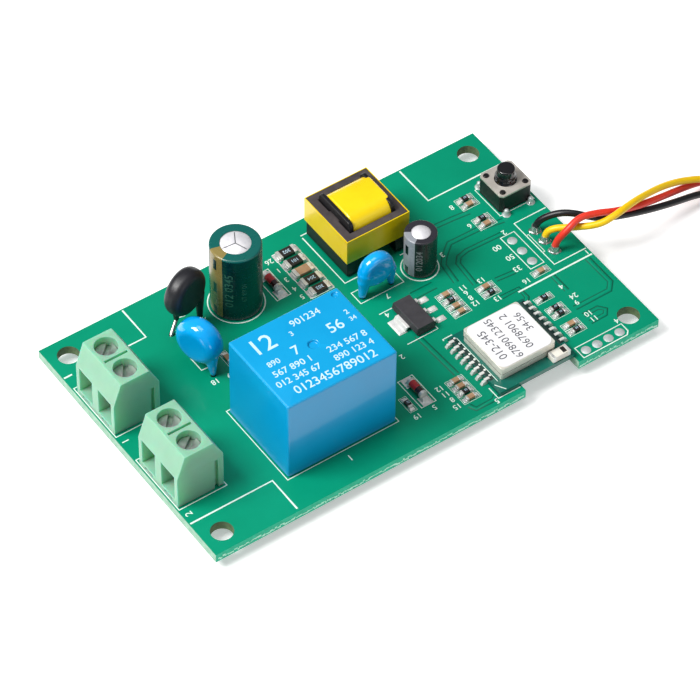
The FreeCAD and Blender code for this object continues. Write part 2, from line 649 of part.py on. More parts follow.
def relay_armature():
    """Iron armature on the yoke's top edge, with the contact blade riveted on it."""
    half = size.yoke_width / 2 - 0.2
    tip = -COIL_OFFSET + size.pole_radius + 0.8
    plate = block("relay_armature_plate", (YOKE_OUTER + 0.1, tip), (-half, half), (ARMATURE_LOW, ARMATURE_HIGH))
    neck = block("relay_armature_neck", (tip - 0.1, tip + 0.5), (-half * 0.5, half * 0.5),
                 (ARMATURE_LOW + 0.3, ARMATURE_HIGH))
    node("relay_armature", in_relay(union("relay_armature_joined", [plate, neck])))
    half_blade = size.blade_width / 2
    blade = block("relay_blade", (YOKE_INNER + 1, CONTACT_X + size.contact_radius + 0.2),
                  (-half_blade, half_blade), (ARMATURE_HIGH, ARMATURE_HIGH + size.blade_thick))
    rivet_low = ARMATURE_HIGH - size.contact_thick
    rivet = rod("relay_blade_contact", CONTACT_X, 0, rivet_low, size.contact_radius,
                size.contact_thick + size.blade_thick + 0.4)
    heads = [rod(f"relay_blade_rivet_{index}", -COIL_OFFSET + shift, 0, ARMATURE_HIGH + 0.1, 0.6, 0.35)
             for index, shift in enumerate((-1.2, 1.2))]
    node("relay_contact_blade", in_relay(union("relay_blade_joined", [blade, rivet] + heads)))


def relay_contacts():
    """The fixed contacts above and below the blade, each on a bent strip that is its own pin."""
    rivet_low = ARMATURE_HIGH - size.contact_thick
    rivet_high = ARMATURE_HIGH + size.blade_thick + 0.4
    open_face = rivet_low - size.contact_travel - size.contact_play
    closed_face = rivet_high + size.contact_play
    for label, side, face, toward in (("relay_open_contact", -1, open_face, -1),
                                      ("relay_closed_contact", 1, closed_face, 1)):
        edge = side * BLADE_PIN_Y
        button = 0.45
        strip_low = face + toward * button - (size.strip_thick if toward < 0 else 0)
        shelf_y = (edge - 0.7, size.contact_radius) if side < 0 else (-size.contact_radius, edge + 0.5)
        shelf = block(label + "_shelf", (CONTACT_X - 0.9, BLADE_PIN_X + size.strip_thick), shelf_y,
                      (strip_low, strip_low + size.strip_thick))
        riser = block(label + "_riser", (BLADE_PIN_X, BLADE_PIN_X + size.strip_thick),
                      (edge - 0.7, edge + 0.5), (-size.board_thick, strip_low + size.strip_thick))
        tip = rod(label + "_tip", CONTACT_X, 0, face if toward > 0 else face - button - 0.1,
                  size.contact_radius, button + 0.1)
        solder_hole(size.relay_x + size.relay_length / 2 + BLADE_PIN_X + size.strip_thick / 2,
                    size.relay_y + size.relay_width / 2 + edge - 0.1, size.relay_pin * 1.05)
        node(label, in_relay(union(label + "_joined", [shelf, riser, tip])))


relay_case()
relay_base()
relay_coil()
relay_yoke()
relay_pins()
relay_armature()
relay_contacts()


# Electrolytic capacitors. An aluminium can with a rolled neck is crimped over a rubber plug and
# shrunk into a printed sleeve that leaves a bare disc on top.
def electrolytic(label, x, y, radius, rise, pitch):
    """Can, sleeve, plug and leads of one upright capacitor."""
    seat = size.can_seat
    top = seat + rise
    skin = radius - size.sleeve_thick
    inside = skin - size.can_fit
    neck = seat + size.plug_thick + 0.9
    bead = inside * 0.09
    hem = inside - 0.3
    can_outline = [(0, seat + size.plug_thick + 0.04), (hem, seat + size.plug_thick + 0.04), (hem, seat + 0.14),
                   (inside, seat + 0.14), (inside, neck - 0.45), (inside - bead, neck), (inside, neck + 0.45),
                   (inside, top - size.can_lip - size.can_fit), (0, top - size.can_lip - size.can_fit)]
    can = turned_piece(label + "_can_turned", can_outline)
    node(label + "_can", place(can, on_x(x), on_y(y), BOARD_TOP))
    lip = radius * 0.6
    sleeve_outline = [(hem, seat), (radius, seat), (radius, top), (lip, top), (lip, top - size.can_lip),
                      (skin, top - size.can_lip), (skin, seat + 0.12), (hem, seat + 0.12)]
    rim = [(radius * 0.08, lambda edge: edge.BoundBox.ZLength < 0.01 and edge.BoundBox.ZMin > top.value - 0.01
            and edge.BoundBox.XLength > radius.value * 1.9)]
    sleeve = turned_piece(label + "_sleeve_turned", sleeve_outline, rim)
    node(label + "_sleeve", place(sleeve, on_x(x), on_y(y), BOARD_TOP))
    plug = rod(label + "_bung", on_x(x), on_y(y), BOARD_TOP + seat, hem - size.can_fit, size.plug_thick)
    node(label + "_plug", plug)
    return [pin_rod(f"{label}_lead_{side}", x + pitch * half, y, size.capacitor_lead, seat)
            for side, half in ((1, -0.5), (2, 0.5))]


leads = electrolytic("supply_capacitor", size.supply_x, size.supply_y, size.supply_radius, size.supply_rise,
                     size.supply_lead_pitch)
leads += electrolytic("output_capacitor", size.output_x, size.output_y, size.output_radius, size.output_rise,
                      size.output_lead_pitch)
node("capacitor_leads", group("capacitor_lead_set", leads))


# Disc parts. Each is a disc dipped in lacquer that runs down its two tinned leads. Legs are given
# as a lead's place from the disc's middle, the height where the lacquer ends, and the lean of the
# bare lead below it, toward the disc.
def disc_part(label, prefix, legs):
    """A dipped disc standing over its leads, turned to its heading."""
    x = getattr(size, prefix + "_x")
    y = getattr(size, prefix + "_y")
    radius = getattr(size, prefix + "_radius")
    thick = getattr(size, prefix + "_thick")
    centre = getattr(size, prefix + "_centre")
    heading = known[prefix + "_turn"]
    body = new_body(label + "_dipped")
    feature = pad(body, circle(body, label + "_round", "XZ_Plane", 0, centre, radius), thick)
    soften(body, feature, thick * size.disc_round, lambda edge: not upright(edge) and edge.BoundBox.YLength < 0.01)
    place(body, 0, thick / 2, 0)
    pieces = [turn(group(label + "_turned", [body]), heading)]
    leads = []
    for number, (shift_x, shift_y, end, lean) in enumerate(legs, 1):
        foot = x + shift_x
        leads.append(pin_rod(f"{label}_lead_{number}", foot, y + shift_y, size.disc_lead, 0.3 if lean else end))
        if lean:
            bare = doc.addObject("Part::Cylinder", f"{label}_bare_{number}")
            bind(bare, "Radius", size.disc_lead)
            bare.Height = math.hypot(end - 0.2, lean) - 0.12
            turn(bare, math.degrees(math.atan2(lean, end - 0.2)), (0, 1, 0))
            place(bare, on_x(foot), on_y(y + shift_y), BOARD_TOP + 0.2)
            leads[-1] = union(f"{label}_bent_{number}", [leads[-1], bare])
        run = centre - radius * 0.4 - end
        pieces.append(taper(f"{label}_run_{number}", shift_x + lean, shift_y, end, size.coat_low_radius,
                            size.coat_high_radius, run))
    node(label + "_body", place(union(label + "_disc", pieces), on_x(x), on_y(y), BOARD_TOP))
    node(label + "_leads", group(label + "_lead_pair", leads))


disc_part("thermistor", "thermistor", [(-2.6, 0, 2.9, 0.95), (2.5, 0, 0.6, 0)])
disc_part("varistor", "varistor", [(0.45, -2.8, 0.2, 0), (0.45, 2.2, 0.2, 0)])
disc_part("safety_capacitor", "safety", [(-2.5, -0.1, 0.2, 0), (2.8, -0.1, 0.2, 0)])

# Transformer. Two ferrite halves shaped like an E meet inside a black bobbin and are bound by
# yellow tape; the winding under its own tape bulges out of the core's window.
CORE_X = on_x(size.transformer_x)
CORE_Y = on_y(size.transformer_y)
CORE_LOW = size.core_seat
CORE_HIGH = size.core_seat + size.core_thick
CORE_MIDDLE = CORE_LOW + size.core_thick / 2
WINDOW_X = size.core_length / 2 - size.core_back
WINDOW_Y = size.core_width / 2 - size.core_leg


def on_core(thing):
    """Place a transformer piece, modelled about the transformer's middle."""
    return place(thing, CORE_X, CORE_Y, BOARD_TOP)


def core_half(name, side):
    """One ferrite half: a back, two outer legs and a centre leg."""
    end = side * size.core_length / 2
    window = side * WINDOW_X
    wide = size.core_width / 2
    leg = size.core_centre_leg / 2
    outline = [(0, -wide), (end, -wide), (end, wide), (0, wide), (0, WINDOW_Y), (window, WINDOW_Y),
               (window, leg), (0, leg), (0, -leg), (window, -leg), (window, -WINDOW_Y), (0, -WINDOW_Y)]
    body = new_body(name)
    pad(body, polygon(body, name + "_outline", "XY_Plane", outline), size.core_thick)
    return place(body, 0, 0, CORE_LOW)


def transformer():
    """Core halves, bobbin, winding, tape and pins."""
    node("transformer_core", on_core(group("ferrite_halves", [core_half("ferrite_left", -1),
                                                              core_half("ferrite_right", 1)])))
    fit = size.core_fit
    leg_y = size.core_centre_leg / 2 + fit
    tube_y = leg_y + size.bobbin_tube_wall
    low = CORE_LOW - fit
    high = CORE_HIGH + fit
    flange_out = WINDOW_X - fit
    flange_in = flange_out - size.bobbin_flange
    flange_y = WINDOW_Y - fit
    pieces = [block("bobbin_tube", (-flange_out, flange_out), (-tube_y, tube_y),
                    (low - size.bobbin_tube_wall, high + size.bobbin_tube_wall))]
    half_width = size.core_width / 2 - size.rail_inset
    half_length = size.core_length / 2 - size.rail_inset
    flange_top = CORE_HIGH + size.bobbin_reach
    for side, name in ((-1, "left"), (1, "right")):
        body = new_body(f"bobbin_flange_{name}")
        outline = [(-flange_y, size.rail_seat), (flange_y, size.rail_seat), (flange_y, flange_top),
                   (-flange_y, flange_top)]
        feature = pad(body, polygon(body, f"bobbin_flange_{name}_outline", "YZ_Plane", outline),
                      size.bobbin_flange)
        soften(body, feature, 0.9, lambda edge: edge.BoundBox.ZMin > flange_top.value - 0.01
               and edge.BoundBox.YLength < 0.01)
        pieces.append(place(body, flange_in if side > 0 else -flange_out, 0, 0))
        rail_x = (flange_in, half_length) if side > 0 else (-half_length, -flange_in)
        pieces.append(block(f"bobbin_rail_{name}", rail_x, (-half_width, half_width),
                            (size.rail_seat, CORE_LOW - fit)))
    bore = block("bobbin_bore", (-20, 20), (-leg_y, leg_y), (low, high))
    node("transformer_bobbin", on_core(cut("bobbin_bored", union("bobbin_blank", pieces), [bore])))

    roll = new_body("winding_roll")
    half_roll = size.winding_width / 2
    bulge_low = CORE_MIDDLE - size.winding_rise / 2
    bulge_high = CORE_MIDDLE + size.winding_rise / 2
    outline = [(-half_roll, bulge_low), (half_roll, bulge_low), (half_roll, bulge_high), (-half_roll, bulge_high)]
    roll_length = flange_in * 2 - 0.06
    feature = pad(roll, polygon(roll, "winding_outline", "YZ_Plane", outline), roll_length)
    soften(roll, feature, size.winding_round, lambda edge: edge.BoundBox.XLength > 1)
    place(roll, -roll_length / 2, 0, 0)
    wall = size.bobbin_tube_wall + 0.02
    hollow = block("winding_bore", (-20, 20), (-leg_y - wall, leg_y + wall), (low - wall, high + wall))
    node("transformer_winding", on_core(cut("winding_on_tube", roll, [hollow])))

    out_x = size.core_length / 2 + size.tape_thick
    out_y = size.core_width / 2 + size.tape_thick
    band = block("tape_outside", (-out_x, out_x), (-out_y, out_y), (CORE_LOW, CORE_HIGH))
    inside = block("tape_inside", (-size.core_length / 2, size.core_length / 2),
                   (-size.core_width / 2, size.core_width / 2), (0, CORE_HIGH + 1))
    node("transformer_tape", on_core(cut("tape_band", band, [inside])))

    pin_x = half_length - size.transformer_pin_inset
    pins = []
    for side in (-1, 1):
        for index in range(4):
            pin_y = (index - 1.5) * size.transformer_pin_pitch
            pins.append(pin_rod(f"transformer_pin_{side + 2}_{index}", size.transformer_x + side * pin_x,
                                size.transformer_y + pin_y, size.transformer_pin, size.rail_seat))
    node("transformer_pins", group("transformer_pin_set", pins))


transformer()


# Regulator. A black moulded package on a wide tab and three bent leads.
def regulator():
    """Package with its slanted mould faces, tab and gull-wing leads."""
    half_x = size.regulator_length / 2
    half_y = size.regulator_width / 2
    low = size.regulator_seat
    high = low + size.regulator_thick
    parting = low + size.regulator_thick * 0.4
    draft = size.regulator_draft
    body = new_body("regulator_moulding")
    outline = [(draft - half_x, low), (half_x - draft, low), (half_x, parting), (half_x - draft, high),
               (draft - half_x, high), (-half_x, parting)]
    pad(body, polygon(body, "regulator_outline", "XZ_Plane", outline), size.regulator_width)
    place(body, on_x(size.regulator_x), on_y(size.regulator_y) + half_y, BOARD_TOP)
    node("regulator_body", body)

    thick = size.regulator_lead_thick
    reach = size.regulator_span / 2
    knee = half_x + 0.55
    exit_low = parting - thick / 2
    outline = [(half_x, exit_low), (knee - thick, exit_low), (knee + 0.1, 0), (reach, 0), (reach, thick),
               (knee + 0.1 + thick, thick), (knee, exit_low + thick), (half_x, exit_low + thick)]
    pieces = []
    for index in (-1, 0, 1):
        lead = new_body(f"regulator_lead_{index + 2}")
        pad(lead, polygon(lead, f"regulator_lead_{index + 2}_outline", "XZ_Plane", outline),
            size.regulator_lead_width)
        lead_y = index * size.regulator_lead_pitch + size.regulator_lead_width / 2
        pieces.append(place(lead, on_x(size.regulator_x), on_y(size.regulator_y) + lead_y, BOARD_TOP))
    tab = new_body("regulator_tab")
    mirrored = [(-u, v) for u, v in outline]
    pad(tab, polygon(tab, "regulator_tab_outline", "XZ_Plane", mirrored), size.regulator_tab_width)
    tab_y = size.regulator_tab_width / 2
    pieces.append(place(tab, on_x(size.regulator_x), on_y(size.regulator_y) + tab_y, BOARD_TOP))
    node("regulator_leads", group("regulator_lead_set", pieces))


regulator()


# Radio module. A small board with plated half holes along its sides, soldered flat, with a
# two-piece shield can and a ceramic chip antenna at its front right corner.
def radio_module():
    """Module board, joints, shield can and antenna."""
    left = on_x(size.radio_x)
    right = left + size.radio_length
    front = on_y(size.radio_y)
    rear = front + size.radio_width
    low = BOARD_TOP + 0.02
    high = low + size.radio_thick
    plate = block("radio_plate", (left, right), (front, rear), (low, high))
    half_holes = []
    joints = []
    for index in range(8):
        y = on_y(size.radio_pad_start) + index * size.radio_pad_pitch
        for side, edge in (("left", left), ("right", right)):
            half_holes.append(rod(f"radio_hole_{side}_{index}", edge, y, low - 1, size.castle_radius, 3))
            out = (edge - size.joint_length, edge - 0.02) if side == "left" else (edge + 0.02, edge + size.joint_length)
            joints.append(block(f"radio_joint_{side}_{index}", out,
                                (y - size.joint_width / 2, y + size.joint_width / 2),
                                (BOARD_TOP, BOARD_TOP + size.joint_rise)))
    node("radio_board", cut("radio_plate_drilled", plate, half_holes))
    node("radio_joints", group("radio_joint_set", joints))

    shield_left = on_x(size.shield_x)
    shield_front = on_y(size.shield_y)
    shield_right = shield_left + size.shield_length
    shield_rear = shield_front + size.shield_width
    top = high + size.shield_rise
    step = size.shield_step
    frame = plate_body("shield_frame", (shield_left + step, shield_right - step),
                       (shield_front + step, shield_rear - step), (high, top - 0.1), 0.35)
    lid = plate_body("shield_lid", (shield_left, shield_right), (shield_front, shield_rear),
                     (top - size.shield_lid, top), 0.45)
    wall = size.shield_wall + step
    hollow = block("shield_hollow", (shield_left + wall, shield_right - wall),
                   (shield_front + wall, shield_rear - wall), (high - 1, top - size.shield_wall))
    node("radio_shield", cut("shield_can", union("shield_blank", [frame, lid]), [hollow]))
    antenna_left = on_x(size.antenna_x)
    antenna_front = on_y(size.antenna_y)
    node("radio_antenna", block("antenna_chip", (antenna_left, antenna_left + size.antenna_length),
                                (antenna_front, antenna_front + size.antenna_width),
                                (high, high + size.antenna_rise)))


radio_module()

# Push button. A black housing riveted under a steel cover guides the plunger; a steel dome under
# it snaps down when the plunger is pressed and lifts it again.
BUTTON_SPOT = size.board_length - size.button_inset
BUTTON_X = on_x(BUTTON_SPOT)
BUTTON_Y = on_y(size.button_y)
COVER_LOW = size.button_body_rise
COVER_HIGH = size.button_body_rise + size.cover_thick
DOME_TOP = size.dome_floor + size.dome_rise
FLANGE_TOP = COVER_LOW - 0.04


def on_button(thing):
    """Place a push button piece, modelled about the button's middle."""
    return place(thing, BUTTON_X, BUTTON_Y, BOARD_TOP)


def push_button():
    """Housing with its rivet heads, cover, plunger, dome and legs."""
    half = size.button_side / 2
    corner = size.button_corner
    outline = [(corner - half, -half), (half - corner, -half), (half, corner - half), (half, half - corner),
               (half - corner, half), (corner - half, half), (-half, half - corner), (-half, corner - half)]
    rivets = [(u * (half - size.rivet_inset), v * (half - size.rivet_inset)) for u in (-1, 1) for v in (-1, 1)]
    base = new_body("button_moulding")
    pad(base, polygon(base, "button_outline", "XY_Plane", outline), COVER_LOW - 0.02)
    well = rod("button_well", 0, 0, size.dome_floor, size.button_well, 5)
    heads = [rod(f"button_rivet_{index}", u, v, COVER_LOW - 0.5, size.rivet_radius,
                 size.cover_thick + size.rivet_rise + 0.5) for index, (u, v) in enumerate(rivets)]
    housing = union("button_housing_joined", [cut("button_housing_hollow", base, [well])] + heads)
    node("button_housing", on_button(housing))

    sheet_body = new_body("button_sheet")
    pad(sheet_body, polygon(sheet_body, "button_sheet_outline", "XY_Plane", outline), size.cover_thick)
    place(sheet_body, 0, 0, COVER_LOW)
    holes = [rod("button_cover_hole", 0, 0, 0, size.button_radius + size.button_play, 9)]
    holes += [rod(f"button_rivet_hole_{index}", u, v, 0, size.rivet_radius + 0.05, 9)
              for index, (u, v) in enumerate(rivets)]
    node("button_cover", on_button(cut("button_cover_pierced", sheet_body, holes)))

    flange = size.button_radius + size.button_flange
    stem_top = COVER_HIGH + 0.75
    outline = [(0, DOME_TOP + 0.02), (flange, DOME_TOP + 0.3), (flange, FLANGE_TOP), (size.button_radius, FLANGE_TOP),
               (size.button_radius, stem_top), (size.button_tip_radius, stem_top + 0.35),
               (size.button_tip_radius, size.button_rise), (0, size.button_rise)]
    rim = [(0.25, lambda edge: edge.BoundBox.ZMin > size.button_rise.value - 0.01
            and edge.BoundBox.XLength > size.button_tip_radius.value * 1.9)]
    node("button_plunger", on_button(turned_piece("button_plunger_turned", outline, rim)))

    edge_radius = size.button_well - 0.15
    thick = size.dome_thick
    dome = [(0, DOME_TOP), (0, DOME_TOP - thick), (edge_radius * 0.55, DOME_TOP - thick * 1.7),
            (edge_radius - thick, size.dome_floor), (edge_radius, size.dome_floor),
            (edge_radius * 0.6, DOME_TOP - thick * 0.8)]
    node("button_dome", on_button(turned_piece("button_dome_turned", dome)))

    legs = []
    for side in (-1, 1):
        for end in (-1, 1):
            name = f"button_leg_{side + 2}_{end + 2}"
            middle = end * size.leg_pitch / 2
            low = size.leg_level - size.leg_thick
            out = half + size.leg_reach
            inner, outer = (half, out) if side > 0 else (-out, -half)
            drop = (out - size.leg_thick, out) if side > 0 else (-out, size.leg_thick - out)
            shelf = block(name + "_shelf", (middle - size.leg_width / 2, middle + size.leg_width / 2),
                          (inner, outer), (low, size.leg_level))
            tail = block(name + "_tail", (middle - size.leg_width / 2, middle + size.leg_width / 2),
                         drop, (-size.board_thick, size.leg_level))
            legs.append(union(name, [shelf, tail]))
            solder_hole(BUTTON_SPOT + middle, size.button_y + side * (out - size.leg_thick / 2),
                        size.leg_width * 0.56)
    node("button_legs", on_button(group("button_leg_set", legs)))


push_button()

# Small surface-mounted parts. Each chip has a body between two slightly larger tinned ends.
# Rows are given as the part's kind, its middle on the board and the way that it lies. A place
# below zero is counted from the board's right end, where the chips stand by the button.
LONG = (size.long_chip_length, size.long_chip_width, size.long_chip_rise)
SMALL = (size.small_chip_length, size.small_chip_width, size.small_chip_rise)
RESISTORS = [(LONG, 41.55, 42.78, "x"), (LONG, 41.55, 40.56, "x"), (LONG, 41.55, 36.12, "x"),
             (LONG, 41.55, 33.9, "x"), (SMALL, 39.15, 7.6, "y"), (SMALL, 56.45, 20.75, "x"),
             (SMALL, 47.6, 4.75, "x"), (SMALL, -9.5, 36.6, "x"), (SMALL, -9.7, 31.8, "x"),
             (SMALL, 68.3, 13.2, "x"), (SMALL, 68.5, 10.6, "x"), (SMALL, 68.5, 9.3, "x"),
             (SMALL, 68.5, 5.3, "x"), (SMALL, 62.4, 18.65, "x")]
CAPACITORS = [(LONG, 41.55, 38.34, "x"), (SMALL, 22.3, 30.2, "y"), (SMALL, 56.45, 22.1, "x"),
              (SMALL, 56.45, 19.4, "x"), (SMALL, 56.45, 18.05, "x"), (SMALL, 47.6, 7.3, "x"),
              (SMALL, 47.6, 6.0, "x"), (SMALL, 47.6, 3.45, "x"), (SMALL, -9.5, 35.3, "x"),
              (SMALL, -9.7, 30.5, "x"), (SMALL, 68.5, 6.65, "x"), (SMALL, 62.4, 20.0, "x"),
              (SMALL, 71.2, 17.9, "x")]
DIODES = [(36.2, 38.7), (41.75, 8.95)]


def along_board(x):
    """A chip's place along the board."""
    return size.board_length + x if x < 0 else as_size(x)


def chip(name, kind, x, y, lie):
    """One chip lying along X or Y."""
    length, width, rise = kind
    half = length / 2
    side = width / 2
    step = size.chip_end_step
    if lie == "x":
        def solid(tag, start, end, wide, low, high):
            return block(name + tag, (on_x(x + start), on_x(x + end)), (on_y(y - wide), on_y(y + wide)),
                         (BOARD_TOP + low, BOARD_TOP + high))
    else:
        def solid(tag, start, end, wide, low, high):
            return block(name + tag, (on_x(x - wide), on_x(x + wide)), (on_y(y + start), on_y(y + end)),
                         (BOARD_TOP + low, BOARD_TOP + high))
    return union(name, [solid("_middle", -half + 0.05, half - 0.05, side - step, step, rise - step),
                        solid("_start", -half, size.chip_end - half, side, 0, rise),
                        solid("_end", half - size.chip_end, half, side, 0, rise)])


def diode(name, x, y):
    """A glass diode lying along Y between two metal caps."""
    cap = size.diode_radius + 0.06
    start = on_y(y - size.diode_length / 2)
    height = BOARD_TOP + cap
    glass = rod(name + "_glass", on_x(x), start + 0.1, height, size.diode_radius, size.diode_length - 0.2, "y")
    ends = [rod(name + tag, on_x(x), begin, height, cap, size.diode_end, "y")
            for tag, begin in (("_front", start), ("_rear", start + size.diode_length - size.diode_end))]
    return union(name, [glass] + ends)


node("chip_resistors", group("resistor_set", [chip(f"resistor_{index}", kind, along_board(x), as_size(y), lie)
                                              for index, (kind, x, y, lie) in enumerate(RESISTORS)]))
node("chip_capacitors", group("capacitor_set", [chip(f"capacitor_{index}", kind, along_board(x), as_size(y), lie)
                                                for index, (kind, x, y, lie) in enumerate(CAPACITORS)]))
node("glass_diodes", group("diode_set", [diode(f"diode_{index}", as_size(x), as_size(y))
                                         for index, (x, y) in enumerate(DIODES)]))

# Three-wire lead. Each wire stands on its solder joint, rises over the board's edge, comes down
# on the surface that the module stands on and ends in a crimp connector. Black and red run side by
# side, yellow passes under red and back over both. Route points are distances beyond the board's
# right end and from its front edge, with heights as a share of the way from lying on the surface,
# 0, to the top of the solder joint, 1.
WIRE_ROUTES = {
    "black_wire": (1, -1, [(-4.4, 25.2, 1.5), (-2.4, 23.9, 2.07), (-0.3, 22.1, 2.33), (3.1, 19.4, 1.93),
                           (6.4, 18.3, 1.8), (11.1, 17.6, 1.47), (16.2, 17.6, 1.0), (22.2, 18.0, 0.43),
                           (27.3, 16.6, 0.03), (31.6, 12.6, 0), (33.9, 6.9, 0), (34.6, 0.9, 0),
                           (34.85, -5.1, 0.25)]),
    "yellow_wire": (0, 0, [(-4.4, 22.7, 1.43), (-3.5, 22.0, 1.8), (-1.7, 20.45, 1.95), (1.65, 17.5, 2.3),
                           (4.3, 16.9, 2.67), (7.6, 17.7, 2.57), (11.4, 18.85, 2.17), (16.4, 20.0, 1.6),
                           (21.1, 20.2, 1.03), (26.5, 18.9, 0.43), (31.0, 15.9, 0.07), (34.4, 11.3, 0),
                           (36.2, 5.9, 0), (36.9, 0.2, 0), (37.2, -5.3, 0.3)]),
    "red_wire": (-1, 1, [(-4.4, 20.2, 1.5), (-2.85, 19.4, 2.3), (-0.4, 19.75, 2.67), (2.85, 19.1, 2.53),
                         (5.3, 18.4, 2.33), (9.6, 17.95, 2.0), (14.3, 18.6, 1.47), (19.7, 19.75, 0.77),
                         (24.2, 20.5, 0.17), (29.9, 19.2, 0), (34.6, 15.9, 0), (37.6, 11.0, 0),
                         (39.0, 5.3, 0), (39.5, -0.3, 0), (39.8, -5.4, 0.3)]),
}
WIRE_SPOT = size.board_length - size.wire_inset
PLUG_X = on_x(size.board_length + size.plug_reach)
LYING = size.wire_diameter / 2 + size.wire_lift
JOINT_TOP = BOARD_TOP + size.wire_blob


def wire_points(pad_side, plug_side, route):
    """A wire's route in the model's frame, from its solder joint to the connector's back face."""
    low = LYING.value
    rise = JOINT_TOP.value - low
    points = [FreeCAD.Vector(on_x(WIRE_SPOT).value, on_y(size.wire_y + size.wire_pitch * pad_side).value,
                             JOINT_TOP.value)]
    points += [FreeCAD.Vector(on_x(size.board_length + x).value, on_y(y).value, low + share * rise)
               for x, y, share in route]
    angle = math.radians(known["plug_turn"])
    forward = FreeCAD.Vector(math.cos(angle), math.sin(angle), 0)
    across = FreeCAD.Vector(-math.sin(angle), math.cos(angle), 0)
    end = FreeCAD.Vector(PLUG_X.value, on_y(size.plug_y).value, known["plug_rise"] / 2)
    end += across * plug_side * known["wire_pitch"]
    return points + [end - forward * known["plug_run"], end]


def wire_tube(label, points):
    """Straight runs joined by tangent arcs, each as large as its two runs allow."""
    edges = []
    radii = []
    last = points[0]
    for before, corner, after in zip(points, points[1:], points[2:]):
        back = (before - corner).normalize()
        ahead = (after - corner).normalize()
        reach = 0.45 * min((before - corner).Length, (after - corner).Length)
        half_turn = (math.pi - back.getAngle(ahead)) / 2
        radius = reach / math.tan(half_turn)
        radii.append(round(radius, 1))
        start = corner + back * reach
        finish = corner + ahead * reach
        middle_way = (back + ahead).normalize()
        middle = corner + middle_way * (radius / math.cos(half_turn) - radius)
        edges.append(Part.LineSegment(last, start).toShape())
        edges.append(Part.Arc(start, middle, finish).toShape())
        last = finish
    edges.append(Part.LineSegment(last, points[-1]).toShape())
    path = Part.Wire(edges)
    section = Part.Wire([Part.makeCircle(known["wire_diameter"] / 2, points[0], points[1] - points[0])])
    tube = path.makePipeShell([section], True, False)
    expected = math.pi * (known["wire_diameter"] / 2) ** 2 * path.Length
    print(label, "length", round(path.Length, 1), "radii", radii, "volume ratio", round(tube.Volume / expected, 3))
    if abs(tube.Volume / expected - 1) > 0.02:
        raise RuntimeError(f"{label} is not a sound tube")
    feature = doc.addObject("Part::Feature", label + "_tube")
    feature.Shape = tube
    return node(label, feature)


def lead_connector():
    """Connector housing lying on the surface, with three sockets, slots over them and side ribs."""
    half = size.plug_width / 2
    length = size.plug_length
    shell = block("plug_shell", (0, length), (-half + 0.4, half - 0.4), (0, size.plug_rise))
    ribs = [block(f"plug_rib_{side + 2}", (0.8, length), ((half - 0.5, half) if side > 0 else (-half, 0.5 - half)),
                  (1.0, size.plug_rise - 1.4)) for side in (-1, 1)]
    middle = size.plug_rise / 2
    tools = []
    for index in (-1, 0, 1):
        lane = index * size.wire_pitch
        half_socket = size.plug_socket / 2
        tools.append(block(f"plug_socket_{index + 2}", (length - size.plug_socket_depth, length + 1),
                           (lane - half_socket, lane + half_socket), (middle - half_socket, middle + half_socket)))
        tools.append(block(f"plug_slot_{index + 2}", (2.0, 4.4), (lane - 0.55, lane + 0.55),
                           (middle, size.plug_rise + 1)))
    housing = cut("plug_housing", union("plug_blank", [shell] + ribs), tools)
    turn(housing, known["plug_turn"])
    node("lead_connector", place(housing, PLUG_X, on_y(size.plug_y), 0))


for label, (pad_side, plug_side, route) in WIRE_ROUTES.items():
    wire_tube(label, wire_points(pad_side, plug_side, route))
lead_connector()

# Board. Fibreglass laminate with four corner holes, plated holes for the leads, and a notch in
# the front edge that keeps copper away from the antenna.
notch_end = size.notch_start + size.notch_length
BOARD_OUTLINE = [(0, 0), (size.notch_start, 0), (size.notch_start, size.notch_depth),
                 (notch_end, size.notch_depth), (notch_end, 0), (size.board_length, 0),
                 (size.board_length, size.board_width), (0, size.board_width)]
laminate = new_body("laminate")
pad(laminate, polygon(laminate, "laminate_outline", "XY_Plane", BOARD_OUTLINE), size.board_thick)
place(laminate, on_x(0), on_y(0), size.tail_length)
drills = []
for corner, (across, along) in enumerate([(0, 0), (1, 0), (1, 1), (0, 1)]):
    hole_x = on_x(across * size.board_length + (1 - 2 * across) * size.hole_inset_x)
    hole_y = on_y(along * size.board_width + (1 - 2 * along) * size.hole_inset_y)
    drills.append(rod(f"mount_hole_{corner}", hole_x, hole_y, 0, size.hole_radius, 9))
for index, (x, y, radius) in enumerate(drilled):
    drills.append(rod(f"lead_hole_{index}", on_x(x), on_y(y), 0, radius + size.drill_play, 9))
node("circuit_board", cut("laminate_drilled", laminate, drills))

cones = [taper(f"solder_cone_{index}", on_x(x), on_y(y), 0, size.solder_tip_radius, size.solder_radius,
               size.tail_length) for index, (x, y) in enumerate(soldered)]
blobs = [taper(f"wire_joint_{side + 2}", on_x(WIRE_SPOT), on_y(size.wire_y + side * size.wire_pitch), BOARD_TOP,
               size.wire_blob_radius, size.wire_blob_top, size.wire_blob) for side in (-1, 0, 1)]
node("solder_joints", group("solder_joint_set", cones + blobs))

doc.recompute()
for thing in doc.Objects:
    if "Invalid" in thing.State or "Error" in thing.State:
        raise RuntimeError(f"{thing.Name} did not build")
os.makedirs("parts", exist_ok=True)
for label, thing in nodes.items():
    shape = thing.Shape
    if shape.isNull() or not shape.isValid() or not shape.Solids:
        raise RuntimeError(f"{label} is not a sound solid")
    shape.exportStep(f"parts/{label}.step")
print(len(nodes), "sub-parts written")
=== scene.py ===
import bmesh
import bpy
import math
import random
from mathutils import Matrix, Vector


